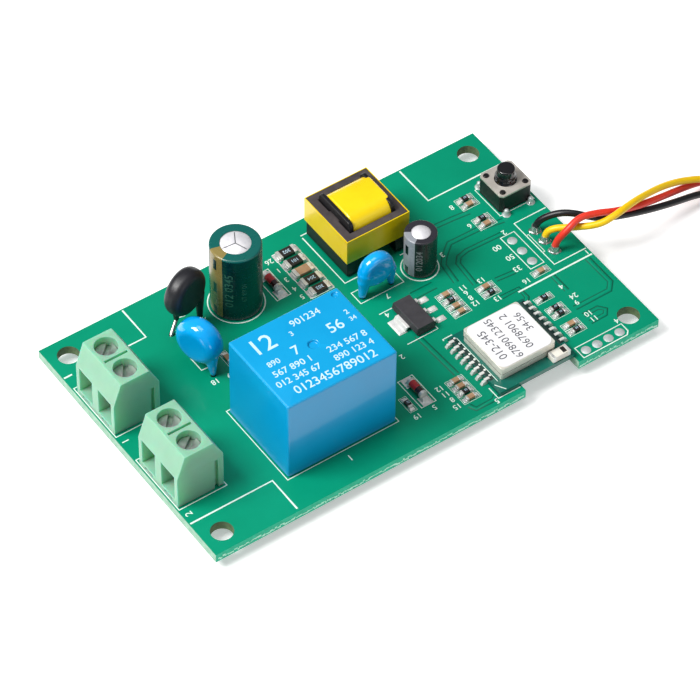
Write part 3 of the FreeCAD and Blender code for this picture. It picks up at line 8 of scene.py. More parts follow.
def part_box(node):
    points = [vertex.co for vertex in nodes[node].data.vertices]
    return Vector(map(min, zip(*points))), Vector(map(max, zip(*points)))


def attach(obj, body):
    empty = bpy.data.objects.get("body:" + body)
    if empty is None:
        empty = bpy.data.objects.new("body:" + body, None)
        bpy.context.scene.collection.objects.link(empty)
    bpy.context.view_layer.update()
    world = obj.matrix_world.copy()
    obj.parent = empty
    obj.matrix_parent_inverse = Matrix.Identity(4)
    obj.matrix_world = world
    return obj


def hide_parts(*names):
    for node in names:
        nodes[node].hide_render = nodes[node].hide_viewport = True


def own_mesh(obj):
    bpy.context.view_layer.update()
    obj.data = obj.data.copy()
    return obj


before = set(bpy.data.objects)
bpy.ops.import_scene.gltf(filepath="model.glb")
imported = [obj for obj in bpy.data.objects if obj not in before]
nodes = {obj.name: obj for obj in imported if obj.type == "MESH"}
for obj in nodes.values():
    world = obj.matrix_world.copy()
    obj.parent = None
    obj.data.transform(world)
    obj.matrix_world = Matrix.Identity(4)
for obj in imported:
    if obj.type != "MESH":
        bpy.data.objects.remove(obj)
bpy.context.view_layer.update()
scene = bpy.context.scene

# Studio. A long lens looks down on the board from its front left, on a white table top. One broad
# lamp stands over the left side, weaker ones above and in front, and the surroundings are white.
scene.view_settings.view_transform = "Standard"

camera = bpy.data.objects.new("camera", bpy.data.cameras.new("camera"))
scene.collection.objects.link(camera)
camera.data.lens = 223.15
camera.data.sensor_width = 36.0
camera.data.clip_start = 0.05
camera.data.clip_end = 5.0
camera.matrix_world = Matrix((
    (0.81954879, 0.42491942, -0.38442591, -0.250401),
    (-0.57296675, 0.61588366, -0.54073692, -0.352302),
    (0.00699202, 0.66342355, 0.74821140, 0.487276),
    (0.0, 0.0, 0.0, 1.0),
))
scene.camera = camera


def feed(tree, node, sources):
    """Give inputs of a shader node their plain values, or the output sockets that drive them."""
    for label, source in sources.items():
        if isinstance(source, bpy.types.NodeSocket):
            tree.links.new(source, node.inputs[label])
        else:
            node.inputs[label].default_value = source


def add_node(tree, kind, sources=None, **settings):
    """A shader node with its settings, fed with values and sockets."""
    made = tree.nodes.new("ShaderNode" + kind)
    for label, value in settings.items():
        setattr(made, label, value)
    feed(tree, made, sources or {})
    return made


def reckon(tree, operation, *terms, **settings):
    """The outcome of one math node on values and sockets."""
    return add_node(tree, "Math", dict(enumerate(terms)), operation=operation, **settings).outputs[0]


FULL_WHITE = (1.0, 1.0, 1.0, 1.0)
world = bpy.data.worlds.new("white_surroundings")
scene.world = world
world.use_nodes = True
sky = world.node_tree
sky.nodes.clear()
rays = add_node(sky, "LightPath").outputs
sky_seen = add_node(sky, "Background", {"Color": FULL_WHITE, "Strength": 1.0})
sky_fill = add_node(sky, "Background", {"Color": (0.93, 0.97, 1.0, 1.0), "Strength": 0.2})
sky_mix = add_node(sky, "MixShader", {
    "Fac": reckon(sky, "MAXIMUM", rays["Is Camera Ray"], rays["Is Transmission Ray"]),
    1: sky_fill.outputs[0], 2: sky_seen.outputs[0]})
add_node(sky, "OutputWorld", {"Surface": sky_mix.outputs[0]})


def lamp(name, place, width, height, power, tint=(1.0, 1.0, 1.0)):
    """A rectangular soft lamp at a place, aimed at the middle of the board."""
    light = bpy.data.lights.new(name, "AREA")
    light.shape = "RECTANGLE"
    light.size = width
    light.size_y = height
    light.energy = power
    light.color = tint
    thing = bpy.data.objects.new(name, light)
    scene.collection.objects.link(thing)
    thing.location = place
    thing.rotation_euler = (-Vector(place)).to_track_quat("-Z", "Y").to_euler()


lamp("left_softbox", (-0.31, 0.1, 0.42), 0.24, 0.24, 3.3, (1.0, 0.99, 0.97))
lamp("top_softbox", (-0.02, 0.06, 0.6), 0.3, 0.3, 0.8)
lamp("front_fill", (0.1, -0.5, 0.3), 0.3, 0.2, 0.35)

table_mesh = bpy.data.meshes.new("table_top")
table_shape = bmesh.new()
bmesh.ops.create_grid(table_shape, x_segments=1, y_segments=1, size=3.0)
table_shape.to_mesh(table_mesh)
table_shape.free()
table_top = bpy.data.objects.new("table_top", table_mesh)
scene.collection.objects.link(table_top)
table_paint = bpy.data.materials.new("table_white")
table_paint.use_nodes = True
table_tree = table_paint.node_tree
table_tree.nodes.clear()
rays = add_node(table_tree, "LightPath").outputs
table_matt = add_node(table_tree, "BsdfDiffuse", {"Color": (0.86, 0.86, 0.86, 1.0)})
table_glow = add_node(table_tree, "Emission", {"Color": FULL_WHITE, "Strength": 0.4})
table_bright = add_node(table_tree, "AddShader", {0: table_matt.outputs[0], 1: table_glow.outputs[0]})
table_mix = add_node(table_tree, "MixShader", {
    "Fac": reckon(table_tree, "MAXIMUM", rays["Is Camera Ray"], rays["Is Glossy Ray"]),
    1: table_matt.outputs[0], 2: table_bright.outputs[0]})
add_node(table_tree, "OutputMaterial", {"Surface": table_mix.outputs[0]})
table_mesh.materials.append(table_paint)


# Circuit board. Glass laminate 1.6 mm thick, with copper on both sides under green solder mask. The
# long edges were snapped off their panel along a scored line, so they are rough; the ends and the
# notch were routed, the corner holes drilled and the small holes plated.
mm = 0.001
BOARD_LENGTH = 80.0
BOARD_WIDTH = 47.5
BOARD_TOP = 3.2
HOLE_INSET = 3.25
NOTCH_START, NOTCH_END, NOTCH_DEPTH = 55.2, 65.0, 3.2
NOTCH_MARGIN = 0.3


def spot(x, y, z=0.0):
    """The place in the shared frame, in metres, of one in mm from the board's front left corner and top."""
    return Vector(((x - BOARD_LENGTH / 2) * mm, (y - BOARD_WIDTH / 2) * mm, (z + BOARD_TOP) * mm))


def shader_group(name, inputs, outputs):
    """An empty node group with sockets of named kinds, for an effect that several materials share."""
    tree = bpy.data.node_groups.new(name, "ShaderNodeTree")
    for way, sockets in (("INPUT", inputs), ("OUTPUT", outputs)):
        for label, kind in sockets.items():
            tree.interface.new_socket(label, in_out=way, socket_type="NodeSocket" + kind)
    return tree, tree.nodes.new("NodeGroupInput"), tree.nodes.new("NodeGroupOutput")


# Mottle: a finish's two tones drift into each other over the surface, and its gloss with them.
mottle, start, end = shader_group(
    "mottle",
    {"Tone": "Color", "Other Tone": "Color", "Scale": "Float", "Low Gloss": "Float", "High Gloss": "Float"},
    {"Color": "Color", "Roughness": "Float"})
clouds = add_node(mottle, "TexNoise", {
    "Vector": add_node(mottle, "TexCoord").outputs["Object"], "Scale": start.outputs["Scale"],
    "Detail": 5.0, "Roughness": 0.62})
drift = add_node(mottle, "MapRange", {"Value": clouds.outputs["Fac"], "From Min": 0.32, "From Max": 0.68})
tones = add_node(mottle, "Mix", {
    "Factor": drift.outputs["Result"], "A": start.outputs["Tone"], "B": start.outputs["Other Tone"]},
    data_type="RGBA")
gloss = add_node(mottle, "MapRange", {
    "Value": drift.outputs["Result"], "To Min": start.outputs["Low Gloss"],
    "To Max": start.outputs["High Gloss"]})
feed(mottle, end, {"Color": tones.outputs["Result"], "Roughness": gloss.outputs["Result"]})

# Grain: the height of a fine moulded, cast or rolled texture.
grain, start, end = shader_group("grain", {"Scale": "Float"}, {"Height": "Float"})
fine = add_node(grain, "TexNoise", {
    "Vector": add_node(grain, "TexCoord").outputs["Object"], "Scale": start.outputs["Scale"],
    "Detail": 3.0, "Roughness": 0.7})
feed(grain, end, {"Height": fine.outputs["Fac"]})


def colour(red, green, blue):
    """A colour as a picture shows it, 0 to 255 each, in the shader's own units."""
    return tuple((c / 255 / 12.92) if c <= 10.3 else ((c / 255 + 0.055) / 1.055) ** 2.4
                 for c in (red, green, blue)) + (1.0,)


def finish(name, tone, other, scale, gloss, grain_scale, bump, depth, **sockets):
    """A material from mottle and grain: its tones and their scale, its two glosses, and its grain's
    scale, strength and depth in mm. The rest are plain sockets of its shader."""
    material = bpy.data.materials.new(name)
    material.use_nodes = True
    tree = material.node_tree
    body = add_node(tree, "Group", {
        "Tone": colour(*tone), "Other Tone": colour(*other), "Scale": scale,
        "Low Gloss": gloss[0], "High Gloss": gloss[1]}, node_tree=mottle)
    skin = add_node(tree, "Group", {"Scale": grain_scale}, node_tree=grain)
    relief = add_node(tree, "Bump", {
        "Strength": bump, "Distance": depth * mm, "Height": skin.outputs["Height"]})
    feed(tree, tree.nodes["Principled BSDF"], {
        "Base Color": body.outputs["Color"], "Roughness": body.outputs["Roughness"],
        "Normal": relief.outputs["Normal"],
        **{label.replace("_", " "): value for label, value in sockets.items()}})
    return material


def shown(name, shape, materials, slot, replaces=None, body="module", smooth=30.0, edge=0.0):
    """Show a finished bmesh as a piece of the object: shaded, softened at its edges, riding its body."""
    mesh = bpy.data.meshes.new(name)
    shape.to_mesh(mesh)
    shape.free()
    thing = bpy.data.objects.new(name, mesh)
    scene.collection.objects.link(thing)
    for material in materials:
        mesh.materials.append(material)
    if smooth:
        for face in mesh.polygons:
            face.use_smooth = True
        mesh.set_sharp_from_angle(angle=math.radians(smooth))
    if edge:
        round_over = thing.modifiers.new("softened_edges", "BEVEL")
        round_over.width = edge * mm
        round_over.segments = 2
        round_over.limit_method = "ANGLE"
        round_over.angle_limit = math.radians(40)
    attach(thing, body)
    if replaces:
        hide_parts(replaces)
    return thing


def copied(node, flat=True):
    """The shape of a solid with its loose triangles joined, and its flat faces made whole."""
    shape = bmesh.new()
    shape.from_mesh(nodes[node].data)
    bmesh.ops.remove_doubles(shape, verts=shape.verts, dist=1e-6)
    if flat:
        bmesh.ops.dissolve_limit(shape, angle_limit=math.radians(0.5), verts=shape.verts, edges=shape.edges)
    return shape


mask_green = finish("mask_green", (0, 145, 111), (0, 136, 103), 60.0, (0.42, 0.34), 1800.0, 0.06, 0.01,
                    Specular_IOR_Level=0.15, Coat_Weight=0.04, Coat_Roughness=0.12)
mask_under = finish("mask_under", (0, 140, 108), (0, 128, 98), 60.0, (0.36, 0.28), 1800.0, 0.15, 0.02)
laminate = finish("laminate", (172, 208, 186), (136, 180, 156), 900.0, (0.85, 0.7), 5000.0, 0.7, 0.06)
# The snapped long edges get a brighter, greener laminate than the routed ends: painted light, for the light
# that glows through the green board onto its shaded front edge.
snapped_painted_light = finish("snapped_laminate_painted_light", (58, 206, 164), (34, 178, 138), 1300.0, (0.85, 0.7), 5000.0, 0.7, 0.06)
hole_wall = finish("hole_wall", (112, 132, 92), (74, 98, 66), 1200.0, (0.8, 0.6), 5000.0, 0.5, 0.04)
plated = finish("plated", (188, 190, 188), (150, 152, 150), 900.0, (0.35, 0.22), 3000.0, 0.2, 0.01,
                Metallic=1.0)
board_skins = [mask_green, mask_under, laminate, hole_wall, plated, snapped_painted_light]

shape = copied("circuit_board")
corner_holes = [spot(x, y) for x in (HOLE_INSET, BOARD_LENGTH - HOLE_INSET)
                for y in (HOLE_INSET, BOARD_WIDTH - HOLE_INSET)]
notch_left = spot(NOTCH_START - NOTCH_MARGIN, 0)
notch_right = spot(NOTCH_END + NOTCH_MARGIN, NOTCH_DEPTH + NOTCH_MARGIN)
HOLE_REACH = 2.2 * mm
EDGE_REACH = 0.02 * mm
for face in shape.faces:
    middle = face.calc_center_median()
    if abs(face.normal.z) > 0.9:
        skin = mask_green if face.normal.z > 0 else mask_under
    elif min((middle.xy - hole.xy).length for hole in corner_holes) < HOLE_REACH:
        skin = hole_wall
    elif abs(abs(middle.y) - BOARD_WIDTH / 2 * mm) < EDGE_REACH:
        skin = snapped_painted_light
    elif abs(abs(middle.x) - BOARD_LENGTH / 2 * mm) < EDGE_REACH or (
            middle.y < notch_right.y and notch_left.x < middle.x < notch_right.x):
        skin = laminate
    else:
        skin = plated
    face.material_index = board_skins.index(skin)
shown("board", shape, board_skins, "board_green", "circuit_board")


# Torn fibres. Ends of the laminate's glass cloth along the two snapped edges, low down, where the
# score in the panel broke last. There are none across the notch.
fibre_pale = finish("fibre_pale", (214, 255, 236), (170, 246, 214), 2500.0, (0.9, 0.8), 5000.0, 0.3, 0.02)
shape = bmesh.new()
frayed = random.Random(7)
for edge_y, inward, sunk in ((0.0, 1.0, -0.02), (BOARD_WIDTH, -1.0, 0.005)):
    x = 0.4
    while x < BOARD_LENGTH - 0.6:
        length = frayed.uniform(0.2, 0.7)
        deep = frayed.uniform(0.05, 0.14)
        if inward < 0 or not NOTCH_START - NOTCH_MARGIN < x + length < NOTCH_END + NOTCH_MARGIN:
            level = frayed.uniform(-1.25, -0.85)
            slant = frayed.uniform(-0.05, 0.05)
            thick = frayed.uniform(0.12, 0.4)
            fibre = bmesh.ops.create_cube(shape, size=1.0)["verts"]
            bmesh.ops.transform(shape, verts=fibre, matrix=Matrix.Translation(
                spot(x + length / 2, edge_y + inward * (deep / 2 + sunk), level))
                @ Matrix.Rotation(slant, 4, "Z") @ Matrix.Diagonal((length * mm, deep * mm, thick * mm, 1.0)))
        x += length + frayed.uniform(-0.25, 0.12)
shown("torn_fibres", shape, [fibre_pale], "board_green", smooth=0)


# Copper under the mask. Tracks stand in the pour between two narrow gaps, where the mask lies on
# bare laminate and looks darker. Each line below is one track: its width, then its corners.
def strips(lines, height, thick=0.012):
    """Flat strips along lines on the board, each with its own width, as one bmesh."""
    curve = bpy.data.curves.new("strip", "CURVE")
    curve.dimensions = "3D"
    curve.twist_mode = "Z_UP"
    curve.bevel_depth = thick / 2 * mm
    curve.bevel_resolution = 0
    curve.use_fill_caps = True
    shape = bmesh.new()
    for width, line in lines:
        curve.splines.clear()
        run = curve.splines.new("POLY")
        closed = line[0] == line[-1] and len(line) > 2
        points = line[:-1] if closed else line
        run.points.add(len(points) - 1)
        for point, (x, y) in zip(run.points, points):
            point.co = (*spot(x, y, height), 1.0)
            point.tilt = math.pi / 2
        run.use_cyclic_u = closed
        curve.extrude = max(width / 2 - thick / 2, 0.01) * mm
        holder = bpy.data.objects.new("strip", curve)
        ribbon = bpy.data.meshes.new_from_object(holder)
        bpy.data.objects.remove(holder)
        shape.from_mesh(ribbon)
        bpy.data.meshes.remove(ribbon)
    bmesh.ops.recalc_face_normals(shape, faces=shape.faces)
    return shape


TRACKS = [
    (0.6, [(78.7, 16.0), (78.7, 10.3), (77.5, 9.0), (71.0, 9.0)]),
    (0.5, [(72.2, 16.2), (72.2, 12.6)]),
    (0.5, [(71.2, 7.1), (73.9, 7.1), (74.7, 6.2), (74.0, 5.4), (71.2, 5.4)]),
    (0.6, [(61.5, 34.7), (66.7, 34.4), (69.6, 34.1)]),
    (0.6, [(72.9, 29.7), (68.6, 30.4), (63.2, 30.5), (60.9, 28.6), (59.9, 27.4), (59.4, 23.4)]),
    (0.5, [(71.0, 27.6), (64.5, 27.8), (62.8, 27.4), (61.9, 26.4), (61.5, 21.4)]),
    (0.5, [(64.6, 20.4), (68.0, 20.1)]),
    (0.6, [(48.2, 18.0), (48.6, 8.4)]),
    (0.5, [(46.5, 2.3), (47.0, 1.2), (50.2, 1.2), (51.2, 1.9)]),
    (1.2, [(52.2, 24.8), (56.3, 24.8)]),
    (0.5, [(63.2, 17.0), (66.4, 17.0), (66.4, 14.9), (65.9, 14.4)]),
]
gap_green = finish("gap_green", (0, 104, 80), (0, 94, 72), 60.0, (0.44, 0.36), 1800.0, 0.12, 0.02,
                   Specular_IOR_Level=0.3)
GAP_WIDTH = 0.22
wider = [(width + 2 * GAP_WIDTH, line) for width, line in TRACKS]
shown("track_gaps", strips(wider, 0.002, thick=0.004), [gap_green], "board_green", smooth=0)
shown("tracks", strips(TRACKS, 0.006, thick=0.004), [mask_green], "board_green", smooth=0)


# White print. Outlines of the parts, corner borders and plain numbers, all silk screened over the
# mask; the numbers stand for the part names of the real board.
def islands(shape):
    """The separate bodies of a bmesh, each as a set of vertices."""
    left = set(shape.verts)
    while left:
        found, reach = set(), {left.pop()}
        while reach:
            v = reach.pop()
            found.add(v)
            near = {edge.other_vert(v) for edge in v.link_edges} & left
            reach |= near
            left -= near
        yield found


def lettering(labels, height, thick=0.012, heavy=0.012):
    """Flat letters as one bmesh, all facing outwards. A label is its text and middle in mm, and, where
    they aren't those of the small numbers, its capital height and turn in degrees."""
    shape = bmesh.new()
    for text, x, y, *rest in labels:
        size, turn = rest or (0.95, 180)
        curve = bpy.data.curves.new("letters", "FONT")
        curve.body = text
        curve.size = size / 0.7
        curve.extrude = thick / 2
        curve.offset = heavy
        curve.resolution_u = 3
        curve.align_x = "CENTER"
        curve.align_y = "CENTER"
        holder = bpy.data.objects.new("letters", curve)
        letters = bpy.data.meshes.new_from_object(holder)
        bpy.data.objects.remove(holder)
        letters.transform(Matrix.Translation(spot(x, y, height)) @ Matrix.Rotation(math.radians(turn), 4, "Z")
                          @ Matrix.Scale(mm, 4))
        shape.from_mesh(letters)
        bpy.data.meshes.remove(letters)
    bmesh.ops.remove_doubles(shape, verts=shape.verts, dist=1e-7)
    bmesh.ops.recalc_face_normals(shape, faces=shape.faces)
    shape.normal_update()
    for letter in list(islands(shape)):
        faces = list({face for v in letter for face in v.link_faces})
        corner = faces[0].verts[0].co
        if sum((face.verts[0].co - corner).dot(face.normal) * face.calc_area() for face in faces) < 0:
            bmesh.ops.reverse_faces(shape, faces=faces)
    return shape


def outline(left, front, right, back, width=0.2):
    """A closed rectangle of silk."""
    return (width, [(left, front), (right, front), (right, back), (left, back), (left, front)])


def ring(middle, radius):
    """A closed circle of silk."""
    x, y = middle
    turns = [step * math.tau / 48 for step in [*range(48), 0]]
    return (0.2, [(x + radius * math.cos(turn), y + radius * math.sin(turn)) for turn in turns])


SUPPLY_CAN = (29.8, 38.95)
OUTPUT_CAN = (56.7, 29.1)
SILK_LINES = [
    (0.3, [(0.2, 6.9), (14.5, 6.9), (14.5, 0.5)]),
    (0.3, [(65.8, 47.2), (65.8, 39.6), (79.8, 39.6)]),
    (0.3, [(14.7, 47.2), (14.7, 40.7), (9.0, 40.7)]),
    (0.3, [(0.2, 40.7), (1.6, 40.7)]),
    (0.3, [(65.9, 16.4), (79.8, 16.4)]),
    (0.22, [(79.8, 28.2), (73.8, 28.2), (73.8, 17.9), (79.8, 17.9)]),
    (0.16, [(73.8, 25.1), (74.25, 25.1), (74.25, 20.9), (73.8, 20.9)]),
    outline(70.25, 19.15, 72.8, 26.9),
    (0.22, [(66.1, 0.2), (74.2, 0.2), (74.8, 0.8), (74.8, 2.5), (66.1, 2.5), (66.1, 0.2)]),
    outline(0.3, 9.95, 8.6, 21.4, 0.22),
    outline(0.3, 26.7, 8.6, 38.2, 0.22),
    outline(16.4, 5.72, 36.2, 21.7),
    (0.2, [(17.85, 33.4), (17.85, 30.5), (19.0, 30.4)]),
    (0.2, [(20.9, 41.2), (21.9, 41.0)]),
    (0.2, [(22.95, 39.4), (24.0, 40.5)]),
    (0.22, [(45.4, 44.1), (45.4, 32.75), (47.8, 32.75)]),
    (0.22, [(45.4, 44.6), (58.2, 44.6), (58.2, 32.75), (55.6, 32.75)]),
    outline(45.0, 27.95, 52.9, 30.55),
    outline(39.5, 33.0, 43.6, 43.7, 0.18),
    outline(34.95, 35.6, 37.45, 41.8),
    outline(40.45, 5.9, 43.05, 12.0),
    outline(73.0, 30.7, 79.5, 37.3, 0.18),
    (0.2, [(50.9, 14.8), (50.9, 15.1), (52.6, 15.1)]),
    (0.2, [(50.9, 3.4), (50.9, 1.0), (54.9, 1.0)]),
    (0.18, [(46.0, 24.6), (51.6, 24.6), (51.6, 24.0)]),
    (0.18, [(46.0, 17.3), (51.6, 17.3), (51.6, 17.9)]),
    ring(SUPPLY_CAN, 4.35),
    ring(OUTPUT_CAN, 2.9),
]
SILK_NUMBERS = [
    ("4", 71.9, 13.7), ("24", 72.3, 11.1), ("9", 71.9, 9.8), ("10", 72.0, 7.0), ("11", 72.1, 5.7),
    ("4", 74.6, 3.4), ("16", 68.3, 17.6), ("2", 71.4, 27.6), ("00", 68.6, 25.6, 1.0, 180),
    ("50", 69.1, 22.9, 1.0, 180), ("33", 68.6, 20.4, 1.0, 180), ("6", 67.9, 31.7), ("8", 67.9, 36.4),
    ("13", 62.7, 21.6), ("13", 62.6, 17.2), ("12", 59.3, 18.3), ("11", 59.5, 21.9), ("8", 59.3, 19.6),
    ("6", 59.3, 20.8), ("1", 79.4, 17.2, 0.9, 180), ("12", 44.8, 7.5), ("11", 44.9, 6.1), ("8", 45.1, 4.7),
    ("15", 44.9, 3.2), ("5", 50.4, 0.75), ("2", 43.9, 15.8), ("19", 39.0, 5.0), ("5", 42.1, 5.0),
    ("26", 38.4, 42.9), ("1", 38.6, 40.6), ("3", 38.5, 38.4), ("4", 38.5, 36.2), ("5", 38.5, 34.2),
    ("2", 1.1, 8.6, 1.1, 90), ("1", 1.1, 25.3, 1.1, 90), ("1", 26.3, 4.1, 1.1, 180), ("19", 21.0, 27.3),
    ("7", 49.2, 27.0), ("3", 60.9, 29.2), ("4", 46.95, 23.9), ("18", 18.3, 27.5), ("2", 23.9, 39.3, 1.0, 180),
]
silk_white = finish("silk_white", (236, 248, 240), (216, 238, 226), 900.0, (0.7, 0.6), 4000.0, 0.3, 0.01)
shown("silk_lines", strips(SILK_LINES, 0.03), [silk_white], "board_green", smooth=0)
shown("silk_numbers", lettering(SILK_NUMBERS, 0.03), [silk_white], "board_green", smooth=0)


# Solder joints. Tin in a cone on each lead's tail under the board, on its copper ring, and in three
# uneven blobs on top that hold the tinned ends of the lead's wires.
solder_tin = finish("solder_tin", (214, 215, 213), (168, 170, 170), 1200.0, (0.34, 0.16), 1800.0, 0.35, 0.03,
                    Metallic=0.9)
pad_tin = finish("pad_tin", (214, 222, 222), (184, 192, 192), 1400.0, (0.5, 0.3), 2500.0, 0.6, 0.03,
                 Metallic=0.4)


def spun(shape, foot, profile, steps):
    """Add a form turned about the upright axis over its foot; the profile is radii and heights in mm."""
    start = [shape.verts.new(foot + Vector((reach * mm, 0.0, high * mm))) for reach, high in profile]
    line = [shape.edges.new(pair) for pair in zip(start, start[1:])]
    bmesh.ops.spin(shape, geom=start + line, cent=foot, axis=(0.0, 0.0, 1.0), angle=math.tau, steps=steps,
                   use_merge=True)


def peg(shape, middle, low_radius, high_radius, depth, segments=24, index=0, turned=Matrix()):
    """Add a round peg to a bmesh: its middle in metres, its radii and height in mm."""
    made = bmesh.ops.create_cone(shape, cap_ends=True, segments=segments, radius1=low_radius * mm,
                                 radius2=high_radius * mm, depth=depth * mm,
                                 matrix=Matrix.Translation(middle) @ turned)["verts"]
    for face in {face for v in made for face in v.link_faces}:
        face.material_index = index


def dab(shape, middle, size):
    """Add a rounded blob to a bmesh, half sunk, with its half sizes in mm."""
    return bmesh.ops.create_icosphere(shape, subdivisions=3, radius=1.0, matrix=Matrix.Translation(middle)
                                      @ Matrix.Diagonal((*(half * mm for half in size), 1.0)))["verts"]


TAIL_PROFILE = ((0.94, 1.6), (0.7, 1.42), (0.52, 1.1), (0.4, 0.66), (0.33, 0.2), (0.2, 0.08))
WIRE_PADS = [(75.6, 25.2), (75.6, 22.7), (75.6, 20.2)]
joints = copied("solder_joints", flat=False)
shape = bmesh.new()
for island in sorted(islands(joints), key=lambda found: min(tuple(v.co) for v in found)):
    if max(v.co.z for v in island) < 3.0 * mm:
        x, y = (sum(pick(v.co[axis] for v in island) for pick in (min, max)) / 2 for axis in (0, 1))
        spun(shape, Vector((x, y, 0.0)), TAIL_PROFILE, 24)
        peg(shape, (x, y, 0.08 * mm), 0.2, 0.19, 0.02, 12)
        peg(shape, (x, y, 1.6 * mm), 0.98, 0.98, 0.06, 28, 1)
joints.free()
rough = random.Random(4)
BLOBS = ((0.0, 0.0, 0.95, 0.46), (-0.45, 0.25, 0.6, 0.3), (0.35, -0.35, 0.55, 0.26))
for x, y in WIRE_PADS:
    for x_step, y_step, radius, high in BLOBS:
        for v in dab(shape, spot(x + x_step, y + y_step), (radius, radius, high)):
            v.co += Vector([rough.uniform(-1, 1) for axis in range(3)]) * 0.02 * mm
bmesh.ops.recalc_face_normals(shape, faces=shape.faces)
shown("solder_joints_tinned", shape, [solder_tin, pad_tin], "solder", "solder_joints", smooth=50)


# Unused pads. Two pin rows of the board were left empty; their round pads are tinned all the same,
# and the tin stands on them in low domes.
UNUSED_PADS = [(x, 1.3) for x in (67.3, 69.4, 71.5, 73.6)] + [(71.45, y) for y in (25.5, 22.96, 20.42)]
shape = bmesh.new()
for x, y in UNUSED_PADS:
    peg(shape, spot(x, y, 0.045), 0.78, 0.55, 0.09, 28)
shown("unused_pads", shape, [pad_tin], "solder", smooth=50)


# Terminal blocks. Each is a pale green moulding for two wires, with a tongue and groove on its ends;
# screws turn in the wells and raise wire clamps that grip a wire on a tinned pin.
def softened(node, material, name, slot, edge=0.0, body="module", smooth=30.0, flat=True):
    """A solid's own shape with softened edges and a full material, in place of its node."""
    return shown(name, copied(node, flat), [material], slot, node, body, smooth, edge)


terminal_plastic = finish(
    "terminal_plastic", (142, 192, 164), (134, 184, 156), 250.0, (0.5, 0.42), 2600.0, 0.15, 0.012,
    Subsurface_Weight=0.6, Subsurface_Scale=0.003, Subsurface_Radius=(0.12, 1.0, 0.55))
plated_steel = finish("plated_steel", (190, 192, 188), (150, 152, 150), 500.0, (0.46, 0.34), 1500.0, 0.2,
                      0.012, Metallic=0.95)
tinned_brass = finish("tinned_brass", (196, 196, 190), (160, 158, 150), 900.0, (0.36, 0.26), 2600.0, 0.25,
                      0.01, Metallic=1.0)
for place in ("front", "rear"):
    softened(f"{place}_terminal_housing", terminal_plastic, f"{place}_terminal_moulding", "terminal_green",
             0.16)
for way in range(1, 5):
    softened(f"terminal_screw_{way}", plated_steel, f"terminal_screw_{way}_plated", "screw_steel", 0.08,
             f"screw_{way}")
    softened(f"terminal_clamp_{way}", tinned_brass, f"terminal_clamp_{way}_tinned", "contact_metal", 0.1,
             f"clamp_{way}")
softened("terminal_pins", tinned_brass, "terminal_pins_tinned", "contact_metal", 0.06)


# Relay. A glossy blue case over a base that holds the coil, its yoke and the contacts; the armature
# with its contact blade rocks on the yoke's edge. Plain white numbers are printed on the case.
case_blue = finish("case_blue", (0, 158, 216), (0, 152, 210), 150.0, (0.34, 0.28), 2400.0, 0.04, 0.01,
                   Specular_IOR_Level=0.35, Coat_Weight=0.3, Coat_Roughness=0.08)
softened("relay_case", case_blue, "relay_case_moulding", "relay_blue", 0.22)
RELAY_TOP = 15.45
RELAY_NUMBERS = [
    ("0123456789012", 26.3, 7.9, 1.5, -2), ("012 345 67", 21.5, 10.25, 1.15, -2),
    ("890 123 4", 30.9, 9.85, 1.15, -2), ("567 890 1", 21.8, 12.2, 1.15, -2),
    ("234 567 8", 31.0, 11.75, 1.15, -2), ("901234", 28.6, 19.0, 1.2, 0), ("2", 34.2, 16.5, 0.9, 0),
    ("34", 34.3, 15.0, 0.8, 0), ("56", 31.3, 15.1, 1.9, 0), ("7", 23.9, 14.5, 1.7, 0),
    ("890", 19.9, 14.3, 1.0, 0), ("12", 20.4, 18.0, 3.0, 0), ("3", 25.2, 17.5, 0.9, 0),
]
print_white = finish("print_white", (206, 232, 248), (184, 220, 242), 1200.0, (0.6, 0.5), 4000.0, 0.2, 0.006)
shown("relay_numbers", lettering(RELAY_NUMBERS, RELAY_TOP + 0.006, thick=0.01, heavy=0.015), [print_white],
      "relay_blue", smooth=0)
base_blue = finish("base_blue", (10, 70, 130), (8, 62, 118), 200.0, (0.5, 0.4), 2400.0, 0.15, 0.01)
bobbin_black = finish("bobbin_black", (16, 15, 21), (9, 9, 13), 300.0, (0.5, 0.38), 2600.0, 0.2, 0.01)
coil_copper = finish("coil_copper", (186, 96, 40), (150, 70, 28), 500.0, (0.35, 0.25), 1200.0, 0.3, 0.02,
                     Metallic=0.9)
soft_iron = finish("soft_iron", (160, 160, 158), (128, 128, 126), 600.0, (0.45, 0.32), 2400.0, 0.25, 0.01,
                   Metallic=1.0)
contact_brass = finish("contact_brass", (206, 150, 88), (180, 126, 68), 600.0, (0.36, 0.26), 2400.0, 0.2,
                       0.01, Metallic=1.0)
for part, stuff, made_of, slot, edge, body in (
        ("base", base_blue, "moulding", "relay_base", 0.1, "module"),
        ("bobbin", bobbin_black, "moulding", "bobbin_black", 0.08, "module"),
        ("winding", coil_copper, "wire", "copper_wire", 0.1, "module"),
        ("core", soft_iron, "iron", "iron", 0.08, "module"),
        ("yoke", soft_iron, "iron", "iron", 0.06, "module"),
        ("pins", tinned_brass, "tinned", "contact_metal", 0.05, "module"),
        ("open_contact", contact_brass, "brass", "contact_brass", 0.04, "module"),
        ("closed_contact", contact_brass, "brass", "contact_brass", 0.04, "module"),
        ("armature", soft_iron, "iron", "iron", 0.06, "relay_arm"),
        ("contact_blade", contact_brass, "brass", "contact_brass", 0.03, "relay_arm")):
    softened(f"relay_{part}", stuff, f"relay_{part}_{made_of}", slot, edge, body)


